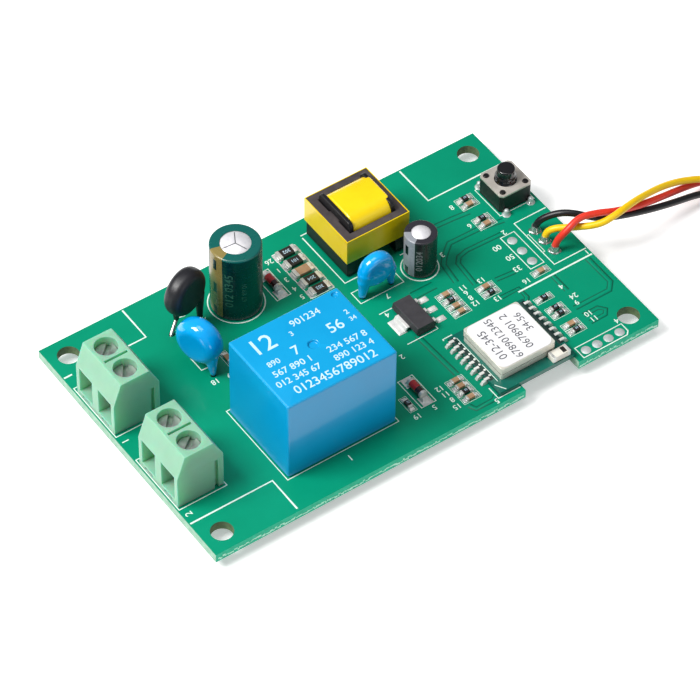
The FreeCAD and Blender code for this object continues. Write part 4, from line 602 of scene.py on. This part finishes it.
# Electrolytic capacitors. An aluminium can in a shrunk plastic sleeve with a pale stripe down the
# minus side; the can's top shows inside the sleeve's lip, and the larger one's is scored as a vent.
stripe, start, end = shader_group(
    "sleeve_stripe",
    {"Place": "Vector", "Half Width": "Float", "Dash Length": "Float", "Rim Height": "Float"},
    {"Mask": "Float", "Rings": "Float", "Rim": "Float"})
around = add_node(stripe, "TexGradient", {"Vector": start.outputs["Place"]}, gradient_type="RADIAL")
off_middle = reckon(stripe, "ABSOLUTE", reckon(stripe, "SUBTRACT", around.outputs["Fac"], 0.5))
inside = reckon(stripe, "LESS_THAN", off_middle, start.outputs["Half Width"])
dash_half = reckon(stripe, "MULTIPLY", start.outputs["Half Width"], 0.25)
dash_side = reckon(stripe, "LESS_THAN", off_middle, dash_half)
upward = add_node(stripe, "SeparateXYZ", {0: start.outputs["Place"]}).outputs["Z"]
phase = reckon(stripe, "FRACT", reckon(stripe, "DIVIDE", upward, start.outputs["Dash Length"]))
dash = reckon(stripe, "MULTIPLY", dash_side, reckon(stripe, "LESS_THAN", phase, 0.42))
rings = add_node(stripe, "TexWave", {
    "Vector": start.outputs["Place"], "Scale": 420.0, "Distortion": 1.5, "Detail": 1.0}, bands_direction="Z")
feed(stripe, end, {
    "Mask": reckon(stripe, "SUBTRACT", inside, dash, use_clamp=True),
    "Rim": reckon(stripe, "GREATER_THAN", upward, start.outputs["Rim Height"]),
    "Rings": rings.outputs["Fac"]})


def sleeve_film(name, tones, rim_film_and_sheen, stripe_tone, centre, direction, half_width, dash_length, rim_height):
    """A shrunk film with a stripe on one side, paler where it is stretched over the rim of its can: thinner
    film there, and a painted reflection on the rim's top.
    """
    material = finish(name, *tones, 400.0, (0.34, 0.22), 900.0, 0.25, 0.02, Coat_Weight=0.3,
                      Coat_Roughness=0.15)
    tree = material.node_tree
    shader = tree.nodes["Principled BSDF"]
    plain = shader.inputs["Base Color"].links[0].from_socket
    relief = shader.inputs["Normal"].links[0].from_socket
    turn = -math.radians(direction)
    axis = Matrix.Rotation(turn, 3, "Z") @ spot(*centre)
    centred = add_node(tree, "Mapping", {
        "Vector": add_node(tree, "TexCoord").outputs["Object"], "Rotation": (0.0, 0.0, turn),
        "Location": (-axis.x, -axis.y, -BOARD_TOP * mm)})
    band = add_node(tree, "Group", {
        "Place": centred.outputs["Vector"], "Half Width": half_width, "Dash Length": dash_length * mm,
        "Rim Height": rim_height * mm}, node_tree=stripe)
    # Above the rim height the film takes its rim tone: partly the thinner film, partly a painted reflection
    # on the rim's top.
    rim_and_sheen_mix = add_node(tree, "Mix", {
        "Factor": band.outputs["Rim"], "A": plain, "B": colour(*rim_film_and_sheen)}, data_type="RGBA")
    paint = add_node(tree, "Mix", {
        "Factor": band.outputs["Mask"], "A": rim_and_sheen_mix.outputs["Result"], "B": colour(*stripe_tone)},
        data_type="RGBA")
    ridges = add_node(tree, "Bump", {
        "Strength": 0.35, "Distance": 0.02 * mm, "Height": band.outputs["Rings"], "Normal": relief})
    feed(tree, shader, {"Base Color": paint.outputs["Result"], "Normal": ridges.outputs["Normal"]})
    return material


def upright_numbers(text, centre, radius, direction, low, size):
    """Numbers that read upwards along a can's side, bent round it."""
    shape = lettering([(text, BOARD_LENGTH / 2, BOARD_WIDTH / 2, size, 0)], -BOARD_TOP,
                      thick=0.01, heavy=0.01)
    for step in range(-6, 7):
        bmesh.ops.bisect_plane(shape, geom=shape.verts[:] + shape.edges[:] + shape.faces[:], dist=1e-8,
                               plane_co=(0.0, step * 0.25 * mm, 0.0), plane_no=(0.0, 1.0, 0.0))
    axis = spot(*centre)
    for v in shape.verts:
        angle = math.radians(direction) - v.co.y / (radius * mm)
        reach = radius * mm + v.co.z
        v.co = (axis.x + reach * math.cos(angle), axis.y + reach * math.sin(angle),
                axis.z + (low * mm) + v.co.x)
    return shape


can_aluminium = finish("can_aluminium", (246, 244, 248), (228, 226, 232), 800.0, (0.5, 0.36), 2600.0, 0.3,
                       0.01, Metallic=0.2)
rubber_black = finish("rubber_black", (28, 28, 28), (18, 18, 18), 500.0, (0.8, 0.7), 2600.0, 0.4, 0.02)
film_teal = sleeve_film("film_teal", ((0, 48, 47), (0, 35, 37)), (2, 92, 86), (140, 124, 70),
                        SUPPLY_CAN, direction=185, half_width=0.058, dash_length=5.0, rim_height=12.8)
film_black = sleeve_film("film_black", ((24, 26, 30), (14, 15, 18)), (44, 42, 50), (150, 154, 162),
                         OUTPUT_CAN, direction=180, half_width=0.095, dash_length=4.4, rim_height=7.5)
ink_green = finish("ink_green", (66, 116, 98), (50, 98, 82), 900.0, (0.5, 0.4), 3000.0, 0.2, 0.006)
ink_grey = finish("ink_grey", (138, 140, 142), (118, 120, 122), 900.0, (0.5, 0.4), 3000.0, 0.2, 0.006)
# A dark grey for the painted shade in the vent's scored grooves.
vent_painted_shade = finish("vent_painted_shade", (120, 122, 126), (96, 98, 102), 900.0, (0.6, 0.5), 3000.0, 0.2, 0.006,
                    Metallic=0.6)
for place, film, film_slot in (("supply", film_teal, "sleeve_teal"), ("output", film_black, "sleeve_black")):
    for part, stuff, made_of, slot in (
            ("sleeve", film, "film", film_slot), ("can", can_aluminium, "aluminium", "aluminium"),
            ("plug", rubber_black, "rubber", "rubber_plug")):
        softened(f"{place}_capacitor_{part}", stuff, f"{place}_capacitor_{made_of}", slot, smooth=40,
                 flat=False)
softened("capacitor_leads", tinned_brass, "capacitor_leads_tinned", "tinned_wire", flat=False)
for name, ink, slot, *numbers in (
        ("supply_numbers", ink_green, "sleeve_teal", "012 0345", SUPPLY_CAN, 4.03, 222, 6.6, 1.3),
        ("supply_numbers_low", ink_green, "sleeve_teal", "67 89 01", SUPPLY_CAN, 4.03, 255, 6.2, 0.8),
        ("output_numbers", ink_grey, "sleeve_black", "012034", OUTPUT_CAN, 2.58, 232, 3.9, 1.0)):
    shown(name, upright_numbers(*numbers), [ink], slot, smooth=0)
# The vent's three scores are thin dark strips on the can's top: painted shade of the grooves.
can_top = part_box("supply_capacitor_can")[1][2] / mm - BOARD_TOP
x, y = SUPPLY_CAN
vent = [(0.16, [SUPPLY_CAN, (x + 2.2 * math.cos(math.radians(turn)), y + 2.2 * math.sin(math.radians(turn)))])
        for turn in (60, 175, 290)]
shown("supply_vent", strips(vent, can_top + 0.004, thick=0.008), [vent_painted_shade], "aluminium", smooth=0)


# Coated discs. The black thermistor, the large blue varistor and the small blue safety capacitor
# are dipped in resin, which runs a little way down both legs of the blue ones as a funnel.
def dipped(node, material, name, slot, runs=(), grid=0.13, rounds=10):
    """A disc whose coat runs smoothly down on its legs: each run is its foot, its top and their radii."""
    shape = copied(node, flat=False)
    for foot, top, foot_radius, top_radius in runs:
        low, high = spot(*foot), spot(*top)
        upright = (high - low).to_track_quat("Z", "Y").to_matrix().to_4x4()
        peg(shape, (low + high) / 2, foot_radius, top_radius, (high - low).length / mm, turned=upright)
    thing = shown(name, shape, [material], slot, node, smooth=0)
    skin = thing.modifiers.new("dipped_skin", "REMESH")
    skin.mode = "VOXEL"
    skin.voxel_size = grid * mm
    skin.use_smooth_shade = True
    ease = thing.modifiers.new("smoothed_skin", "SMOOTH")
    ease.factor = 0.5
    ease.iterations = rounds


resin_black = finish("resin_black", (34, 34, 40), (22, 22, 27), 260.0, (0.5, 0.36), 1500.0, 0.5, 0.03)
resin_blue = finish("resin_blue", (0, 172, 246), (0, 160, 236), 180.0, (0.2, 0.14), 900.0, 0.12, 0.02,
                    Coat_Weight=0.8, Coat_Roughness=0.05)
VARISTOR_RUNS = [((18.75, 28.7, 0.25), (18.6, 29.3, 4.4), 0.42, 1.15),
                 ((18.75, 33.7, 0.25), (18.6, 33.1, 4.4), 0.42, 1.15)]
SAFETY_RUNS = [((45.85, 28.9, 0.25), (46.5, 28.95, 5.0), 0.58, 1.3),
               ((51.2, 28.9, 0.25), (50.6, 28.95, 4.6), 0.55, 1.15)]
dipped("thermistor_body", resin_black, "thermistor_resin", "thermistor_black")
dipped("varistor_body", resin_blue, "varistor_resin", "lacquer_blue", VARISTOR_RUNS, 0.12, 22)
dipped("safety_capacitor_body", resin_blue, "safety_capacitor_resin", "lacquer_blue", SAFETY_RUNS, 0.12, 22)
for disc in ("thermistor", "varistor", "safety_capacitor"):
    softened(f"{disc}_leads", tinned_brass, f"{disc}_leads_tinned", "tinned_wire", flat=False)


# Transformer. Two ferrite halves round a black bobbin, held by yellow tape; the winding on the
# bobbin is wrapped in the same tape and bulges through the frame of the core.
ferrite_grey = finish("ferrite_grey", (78, 70, 70), (56, 50, 52), 400.0, (0.62, 0.5), 2200.0, 0.6, 0.03)
tape_yellow = finish("tape_yellow", (252, 218, 4), (244, 204, 0), 140.0, (0.34, 0.26), 500.0, 0.35, 0.05,
                     Coat_Weight=0.3, Coat_Roughness=0.12)
softened("transformer_core", ferrite_grey, "transformer_ferrite", "ferrite", 0.12)
softened("transformer_tape", tape_yellow, "transformer_tape_film", "tape_yellow")
shape = copied("transformer_winding")
left_end = spot(48.36, 38.9, 5.0)
bmesh.ops.transform(shape, verts=shape.verts, matrix=Matrix.Translation(left_end)
                    @ Matrix.Diagonal((1.1, 1.035, 1.05, 1.0)) @ Matrix.Translation(-left_end))
shown("transformer_winding_tape", shape, [tape_yellow], "tape_yellow", "transformer_winding", edge=0.25)
softened("transformer_bobbin", bobbin_black, "transformer_bobbin_moulding", "bobbin_black", 0.1)
softened("transformer_pins", tinned_brass, "transformer_pins_tinned", "tinned_wire", flat=False)


# Regulator. A black moulded package soldered flat, with three leads on its right and a wide
# cooling tab on its left.
package_black = finish("package_black", (62, 60, 64), (50, 48, 52), 400.0, (0.6, 0.48), 2600.0, 0.35, 0.015)
lead_tin = finish("lead_tin", (240, 239, 236), (216, 215, 212), 500.0, (0.42, 0.3), 2000.0, 0.25, 0.015,
                  Metallic=0.2)
softened("regulator_body", package_black, "regulator_package", "package_black", 0.06)
softened("regulator_leads", lead_tin, "regulator_leads_tinned", "tinned_wire", 0.05)


def block(shape, middle, size, lean=(0.0, 0.0), index=0, turn=0.0):
    """Add a box to a bmesh, in board mm; lean draws its top face in along its length and width."""
    made = bmesh.ops.create_cube(shape, size=1.0)["verts"]
    for v in made:
        high = v.co.z > 0
        v.co.x *= size[0] - (2 * lean[0] if high else 0)
        v.co.y *= size[1] - (2 * lean[1] if high else 0)
        v.co.z *= size[2]
    bmesh.ops.transform(shape, verts=made, matrix=Matrix.Translation(spot(*middle))
                        @ Matrix.Rotation(math.radians(turn), 4, "Z") @ Matrix.Scale(mm, 4))
    for face in {face for v in made for face in v.link_faces}:
        face.material_index = index


shape = bmesh.new()
for y in (18.65, 20.95, 23.25):
    block(shape, (53.1, y, 0.14), (1.7, 1.15, 0.28), (0.4, 0.25))
block(shape, (46.75, 20.95, 0.1), (1.6, 3.3, 0.2), (0.3, 0.2))
shown("regulator_solder", shape, [lead_tin], "solder", smooth=50, edge=0.08)


# Chip parts. Ceramic blocks with tinned ends in fillets of solder, on silver lands; the resistors
# are black with small white numbers, the capacitors tan and bare; the small ones have silk borders.
LONG_CHIP = (3.2, 1.6, 0.6)
SMALL_CHIP = (1.6, 0.85, 0.5)
RESISTORS = [(41.55, y, LONG_CHIP, 0) for y in (42.78, 40.56, 36.12, 33.9)]
RESISTORS += [(39.15, 7.6, SMALL_CHIP, 90)]
RESISTORS += [(x, y, SMALL_CHIP, 0) for x, y in (
    (56.45, 20.75), (47.6, 4.75), (70.5, 36.6), (70.3, 31.8), (68.3, 13.2), (68.5, 10.6), (68.5, 9.3),
    (68.5, 5.3), (62.4, 18.65))]
CAPACITORS = [(41.55, 38.34, LONG_CHIP, 0), (22.3, 30.2, SMALL_CHIP, 90)]
CAPACITORS += [(x, y, SMALL_CHIP, 0) for x, y in (
    (56.45, 22.1), (56.45, 19.4), (56.45, 18.05), (47.6, 7.3), (47.6, 6.0), (47.6, 3.45), (70.5, 35.3),
    (70.3, 30.5), (68.5, 6.65), (62.4, 20.0), (71.2, 17.9))]
chip_black = finish("chip_black", (46, 42, 40), (32, 29, 28), 800.0, (0.42, 0.3), 3000.0, 0.2, 0.006)
chip_tan = finish("chip_tan", (186, 150, 116), (158, 122, 90), 700.0, (0.6, 0.5), 3000.0, 0.25, 0.008)
chip_tin = finish("chip_tin", (240, 240, 236), (196, 198, 196), 1100.0, (0.4, 0.24), 1600.0, 0.25, 0.02,
                  Metallic=0.45)


def chip_set(name, chips, material, replaced, slot):
    """Chip parts of one kind as one piece: body, tinned ends, fillets and lands."""
    shape = bmesh.new()
    for x, y, (length, width, high), turn in chips:
        along_x, along_y = math.cos(math.radians(turn)), math.sin(math.radians(turn))
        tip = 0.17 * length
        block(shape, (x, y, 0.04 + high / 2), (length - 1.4 * tip, width - 0.04, high - 0.06), turn=turn)
        for side in (-1, 1):
            for off, level, size, lean in (
                    ((length - tip) / 2, 0.02 + high / 2, (tip, width, high), (0.0, 0.0)),
                    (length / 2 + 0.14, 0.3 * high, (0.6, width - 0.04, 0.6 * high), (0.24, 0.1)),
                    (length / 2 + 0.14, 0.03, (0.9, width + 0.04, 0.06), (0.0, 0.0))):
                block(shape, (x + side * off * along_x, y + side * off * along_y, level), size, lean, 1, turn)
    shown(name, shape, [material, chip_tin], slot, replaced, smooth=50, edge=0.05)


chip_set("resistor_chips", RESISTORS, chip_black, "chip_resistors", "chip_black")
chip_set("capacitor_chips", CAPACITORS, chip_tan, "chip_capacitors", "chip_tan")
chip_numbers = [("312"[step % 3] + "0" + "214"[step % 3], x, y, 0.62, 180) for step, (x, y, size, turn)
                in enumerate(RESISTORS) if size == LONG_CHIP]
chip_numbers += [("0" + "371"[step % 3], x, y, 0.36, turn + 180) for step, (x, y, size, turn)
                 in enumerate(RESISTORS) if size == SMALL_CHIP]
shown("chip_numbers", lettering(chip_numbers, 0.625, thick=0.008, heavy=0.0), [print_white], "chip_black",
      smooth=0)
borders = []
for x, y, (length, width, high), turn in [chip for chip in RESISTORS + CAPACITORS if chip[2] == SMALL_CHIP]:
    half_x, half_y = length / 2 + 0.75, width / 2 + 0.22
    if turn:
        half_x, half_y = half_y, half_x
    borders.append(outline(x - half_x, y - half_y, x + half_x, y + half_y, 0.1))
shown("chip_borders", strips(borders, 0.028), [silk_white], "board_green", smooth=0)


# Glass diodes. Red glass round a dark pellet between two tinned end caps, on wide soldered lands;
# one lies beside the supply capacitor and one beside the relay.
diode_red = finish("diode_red", (186, 40, 44), (150, 24, 30), 900.0, (0.14, 0.08), 2000.0, 0.1, 0.01,
                   Coat_Weight=1.0, Coat_Roughness=0.03)
diode_dark = finish("diode_dark", (52, 22, 24), (36, 16, 18), 900.0, (0.14, 0.08), 2000.0, 0.1, 0.01,
                    Coat_Weight=1.0, Coat_Roughness=0.03)
shape = bmesh.new()
lying = Matrix.Rotation(math.pi / 2, 4, "X")
for x, y in ((36.2, 38.7), (41.75, 8.95)):
    for off, length, radius, index in (
            (-0.75, 1.0, 0.66, 1), (0.5, 1.5, 0.68, 0), (-1.5, 0.5, 0.7, 2), (1.5, 0.5, 0.7, 2)):
        peg(shape, spot(x, y + off, 0.78), radius, radius, length, 28, index, lying)
    for side in (-1, 1):
        block(shape, (x, y + side * 2.15, 0.04), (1.8, 1.9, 0.08), index=2)
        block(shape, (x, y + side * 1.95, 0.3), (1.3, 0.9, 0.5), (0.25, 0.3), 2)
shown("diode_glass", shape, [diode_red, diode_dark, chip_tin], "diode_glass", "glass_diodes", smooth=40,
      edge=0.06)


# Radio module. A small green board soldered by its edges, with a nickel shield can under a white
# label of plain numbers, and a ceramic antenna that hangs over the notch.
module_green = finish("module_green", (0, 108, 92), (0, 92, 80), 120.0, (0.3, 0.22), 1800.0, 0.15, 0.02)
# A dark green for painted shade along the module's castellated edges.
module_painted_shade = finish("module_painted_shade", (4, 48, 44), (2, 38, 36), 300.0, (0.5, 0.4), 1800.0, 0.15, 0.02)
shield_nickel = finish("shield_nickel", (240, 237, 226), (228, 224, 212), 260.0, (0.4, 0.34), 2000.0, 0.04,
                       0.004, Metallic=0.4)
antenna_white = finish("antenna_white", (236, 232, 222), (220, 214, 200), 700.0, (0.5, 0.4), 2400.0, 0.2,
                       0.01)
label_white = finish("label_white", (244, 244, 246), (232, 232, 236), 300.0, (0.5, 0.4), 2000.0, 0.1, 0.005)
label_grey = finish("label_grey", (66, 66, 72), (104, 104, 110), 1500.0, (0.6, 0.5), 2000.0, 0.1, 0.004)
# A dark tone for the painted shade in a groove round the shield.
shield_groove_shade = finish("shield_groove_shade", (120, 112, 100), (98, 92, 82), 500.0, (0.6, 0.5), 2000.0, 0.1, 0.005)
softened("radio_board", module_green, "radio_module_board", "module_board")
softened("radio_shield", shield_nickel, "radio_shield_can", "shield_nickel", 0.16)
softened("radio_antenna", antenna_white, "radio_antenna_block", "antenna_ceramic", 0.06)
shape = bmesh.new()
for row in range(8):
    y = 4.55 + 1.27 * row
    for side, x in ((-1, 51.0), (1, 65.5)):
        block(shape, (x + 0.1 * side, y, 0.3), (1.3, 0.56, 0.6), (0.3, 0.06))
        block(shape, (x - 0.3 * side, y, 0.87), (0.9, 0.52, 0.12), (0.06, 0.06))
    peg(shape, spot(52.05, y + 0.3, 0.835), 0.2, 0.2, 0.04, 12)
for column in range(6):
    block(shape, (55.0 + 1.4 * column, 14.3, 0.45), (0.7, 0.5, 0.8), (0.06, 0.1))
shown("radio_joints_soldered", shape, [lead_tin], "solder", "radio_joints", smooth=50, edge=0.08)
# A thin dark line along the shield's front and left sides: painted shade of a groove.
shape = bmesh.new()
block(shape, (57.8, 2.945, 2.05), (9.6, 0.02, 0.07))
block(shape, (52.795, 7.9, 2.05), (0.02, 9.5, 0.07))
shown("shield_painted_shade", shape, [shield_groove_shade], "shield_nickel", smooth=0)
shape = bmesh.new()
sheet = bmesh.ops.create_grid(shape, x_segments=1, y_segments=1, size=0.5)
bmesh.ops.transform(shape, verts=sheet["verts"], matrix=Matrix.Translation(spot(57.8, 7.9, 3.225))
                    @ Matrix.Diagonal((9.7 * mm, 9.6 * mm, 1.0, 1.0)))
bmesh.ops.bevel(shape, geom=shape.verts[:], offset=1.2 * mm, segments=6, profile=0.5, affect="VERTICES")
raised = bmesh.ops.extrude_face_region(shape, geom=shape.faces[:])
bmesh.ops.translate(shape, verts=[g for g in raised["geom"] if isinstance(g, bmesh.types.BMVert)],
                    vec=(0.0, 0.0, 0.05 * mm))
bmesh.ops.recalc_face_normals(shape, faces=shape.faces)
shown("module_label", shape, [label_white], "shield_nickel")
LABEL_NUMBERS = [("012-345", 54.6, 7.7, 1.35, 90), ("6789012345", 56.8, 7.9, 1.25, 90),
                 ("0678901 2", 59.2, 8.0, 1.25, 90), ("34-56", 61.2, 8.9, 1.2, 90)]
shown("module_numbers", lettering(LABEL_NUMBERS, 3.285, thick=0.008, heavy=0.0), [label_grey],
      "shield_nickel", smooth=0)
shape = bmesh.new()
block(shape, (61.45, 2.05, 1.4), (0.42, 1.54, 1.08))
block(shape, (64.15, 2.05, 1.4), (0.42, 1.54, 1.08))
block(shape, (63.5, 2.05, 1.93), (0.7, 1.1, 0.03), index=1)
shown("antenna_ends", shape, [chip_tin, chip_black], "antenna_ceramic", smooth=0, edge=0.04)
# Dark strips along the module's two soldered edges: painted shade of its castellated holes.
MODULE_SHADE_STRIPS = [(0.9, [(x, 3.9), (x, 14.0)]) for x in (51.8, 64.7)]
MODULE_SILK = [(0.1, [(52.35, 3.2), (52.35, 7.2)]), (0.1, [(52.35, 7.8), (52.35, 13.6)]),
               (0.14, [(51.5, 2.9), (52.5, 1.3)])]
shown("module_shade_strips", strips(MODULE_SHADE_STRIPS, 0.824, thick=0.008), [module_painted_shade], "module_board", smooth=0)
shown("module_silk", strips(MODULE_SILK, 0.83), [silk_white], "module_board", smooth=0)


# Push button. A black housing with a plated cover riveted at its corners; a glossy plunger stands
# through the cover on a sprung dome, and four bent legs are soldered at the sides.
button_plastic = finish("button_plastic", (13, 13, 15), (8, 8, 10), 400.0, (0.45, 0.35), 2600.0, 0.2, 0.01)
plunger_black = finish("plunger_black", (20, 20, 24), (12, 12, 16), 500.0, (0.22, 0.14), 1600.0, 0.2, 0.01,
                       Coat_Weight=0.6, Coat_Roughness=0.06)
cover_plate = finish("cover_plate", (222, 216, 208), (204, 196, 186), 500.0, (0.44, 0.34), 2400.0, 0.3, 0.01,
                     Metallic=0.5)
softened("button_housing", button_plastic, "button_housing_moulding", "button_black", 0.12)
softened("button_cover", cover_plate, "button_cover_plate", "cover_steel", 0.06)
softened("button_plunger", plunger_black, "button_plunger_moulding", "button_black", body="button",
         flat=False)
dome = softened("button_dome", soft_iron, "button_dome_spring", "cover_steel", flat=False)
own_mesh(dome)
softened("button_legs", tinned_brass, "button_legs_tinned", "tinned_wire", 0.04)
LEG_PROFILE = ((0.72, -0.01), (0.62, 0.1), (0.46, 0.3), (0.4, 0.7), (0.36, 0.95), (0.2, 1.1))
shape = bmesh.new()
for x in (74.0, 78.6):
    for y in (30.45, 37.55):
        spun(shape, spot(x, y), LEG_PROFILE, 20)
        bmesh.ops.holes_fill(shape, edges=[edge for edge in shape.edges if edge.is_boundary], sides=20)
bmesh.ops.recalc_face_normals(shape, faces=shape.faces)
shown("button_joints", shape, [pad_tin], "solder", smooth=50)
shape = bmesh.new()
for x in (74.05, 78.55):
    for y in (30.35, 37.65):
        dab(shape, spot(x, y), (0.55, 0.5, 0.42))
shown("button_solder", shape, [solder_tin], "solder", smooth=50)


# Lead. Three wires of fine strands in soft vinyl, 1.1 mm thick, soldered to three pads at the middle
# of the board's right end. They cross in the air, come down on the table and end in a three-way plug.
connector_nylon = finish("connector_nylon", (236, 236, 228), (224, 222, 212), 260.0, (0.46, 0.36), 2200.0,
                         0.15, 0.01, Subsurface_Weight=0.15, Subsurface_Scale=0.0006)
softened("lead_connector", connector_nylon, "lead_connector_moulding", "connector_white", 0.12)


def wire(tint, insulation, length, route):
    """One wire of the lead: its route in the shared frame, in mm. Its length, in mm, is not used."""
    places = [tuple(round(along * mm, 5) for along in place) for place in route]
    name = f"{tint}_lead_wire"
    curve = bpy.data.curves.new(name, "CURVE")
    curve.dimensions = "3D"
    curve.bevel_depth = 0.55 * mm
    curve.bevel_resolution = 6
    curve.resolution_u = 10
    curve.use_fill_caps = True
    run = curve.splines.new("NURBS")
    run.points.add(len(places) - 1)
    for point, place in zip(run.points, places):
        point.co = (*place, 1.0)
    run.order_u = 3
    run.use_endpoint_u = True
    curve.materials.append(insulation)
    thing = bpy.data.objects.new(name, curve)
    scene.collection.objects.link(thing)
    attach(thing, "module")
    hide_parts(f"{tint}_wire")
    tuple(places[0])


BLACK_ROUTE = [
    (35.6, 1.45, 3.6), (35.6, 1.45, 5.1), (37.6, 0.15, 6.81), (39.7, -1.65, 7.59), (43.1, -4.35, 6.39),
    (46.4, -5.45, 6.0), (51.1, -6.15, 5.01), (56.2, -6.15, 3.6), (62.2, -5.75, 1.89),
    (67.3, -7.15, 0.69), (71.6, -11.15, 0.6), (73.9, -16.85, 0.6), (74.6, -22.85, 0.6),
    (74.85, -28.85, 1.35), (75.04, -34.54, 2.85), (75.51, -39.01, 2.85),
]
YELLOW_ROUTE = [
    (35.6, -1.05, 3.6), (35.6, -1.05, 4.89), (36.5, -1.75, 6.0), (38.3, -3.3, 6.45),
    (41.65, -6.25, 7.5), (44.3, -6.85, 8.61), (47.6, -6.05, 8.31), (51.4, -4.9, 7.11),
    (56.4, -3.75, 5.4), (61.1, -3.55, 3.69), (66.5, -4.85, 1.89), (71.0, -7.85, 0.81),
    (74.4, -12.45, 0.6), (76.2, -17.85, 0.6), (76.9, -23.55, 0.6), (77.2, -29.05, 1.5),
    (77.53, -34.27, 2.85), (78.0, -38.75, 2.85),
]
RED_ROUTE = [
    (35.6, -3.55, 3.6), (35.6, -3.55, 5.1), (37.15, -4.35, 7.5), (39.6, -4.0, 8.61),
    (42.85, -4.65, 8.19), (45.3, -5.35, 7.59), (49.6, -5.8, 6.6), (54.3, -5.15, 5.01),
    (59.7, -4.0, 2.91), (64.2, -3.25, 1.11), (69.9, -4.55, 0.6), (74.6, -7.85, 0.6),
    (77.6, -12.75, 0.6), (79.0, -18.45, 0.6), (79.5, -24.05, 0.6), (79.8, -29.15, 1.5),
    (80.02, -34.01, 2.85), (80.49, -38.49, 2.85),
]
for tint, tone, other, gloss, length, route in (
        ("black", (26, 26, 30), (20, 20, 24), (0.4, 0.32), 71.1, BLACK_ROUTE),
        ("yellow", (255, 212, 8), (252, 200, 2), (0.42, 0.34), 74.3, YELLOW_ROUTE),
        ("red", (240, 62, 40), (228, 50, 34), (0.42, 0.34), 76.4, RED_ROUTE)):
    vinyl = finish(f"wire_vinyl_{tint}", tone, other, 300.0, gloss, 4000.0, 0.2, 0.01)
    wire(tint, vinyl, length, route)

shape = bmesh.new()
for x, y in WIRE_PADS:
    peg(shape, spot(x, y, 0.75), 0.8, 0.6, 0.9)
shown("wire_joints", shape, [solder_tin], "solder", smooth=50)
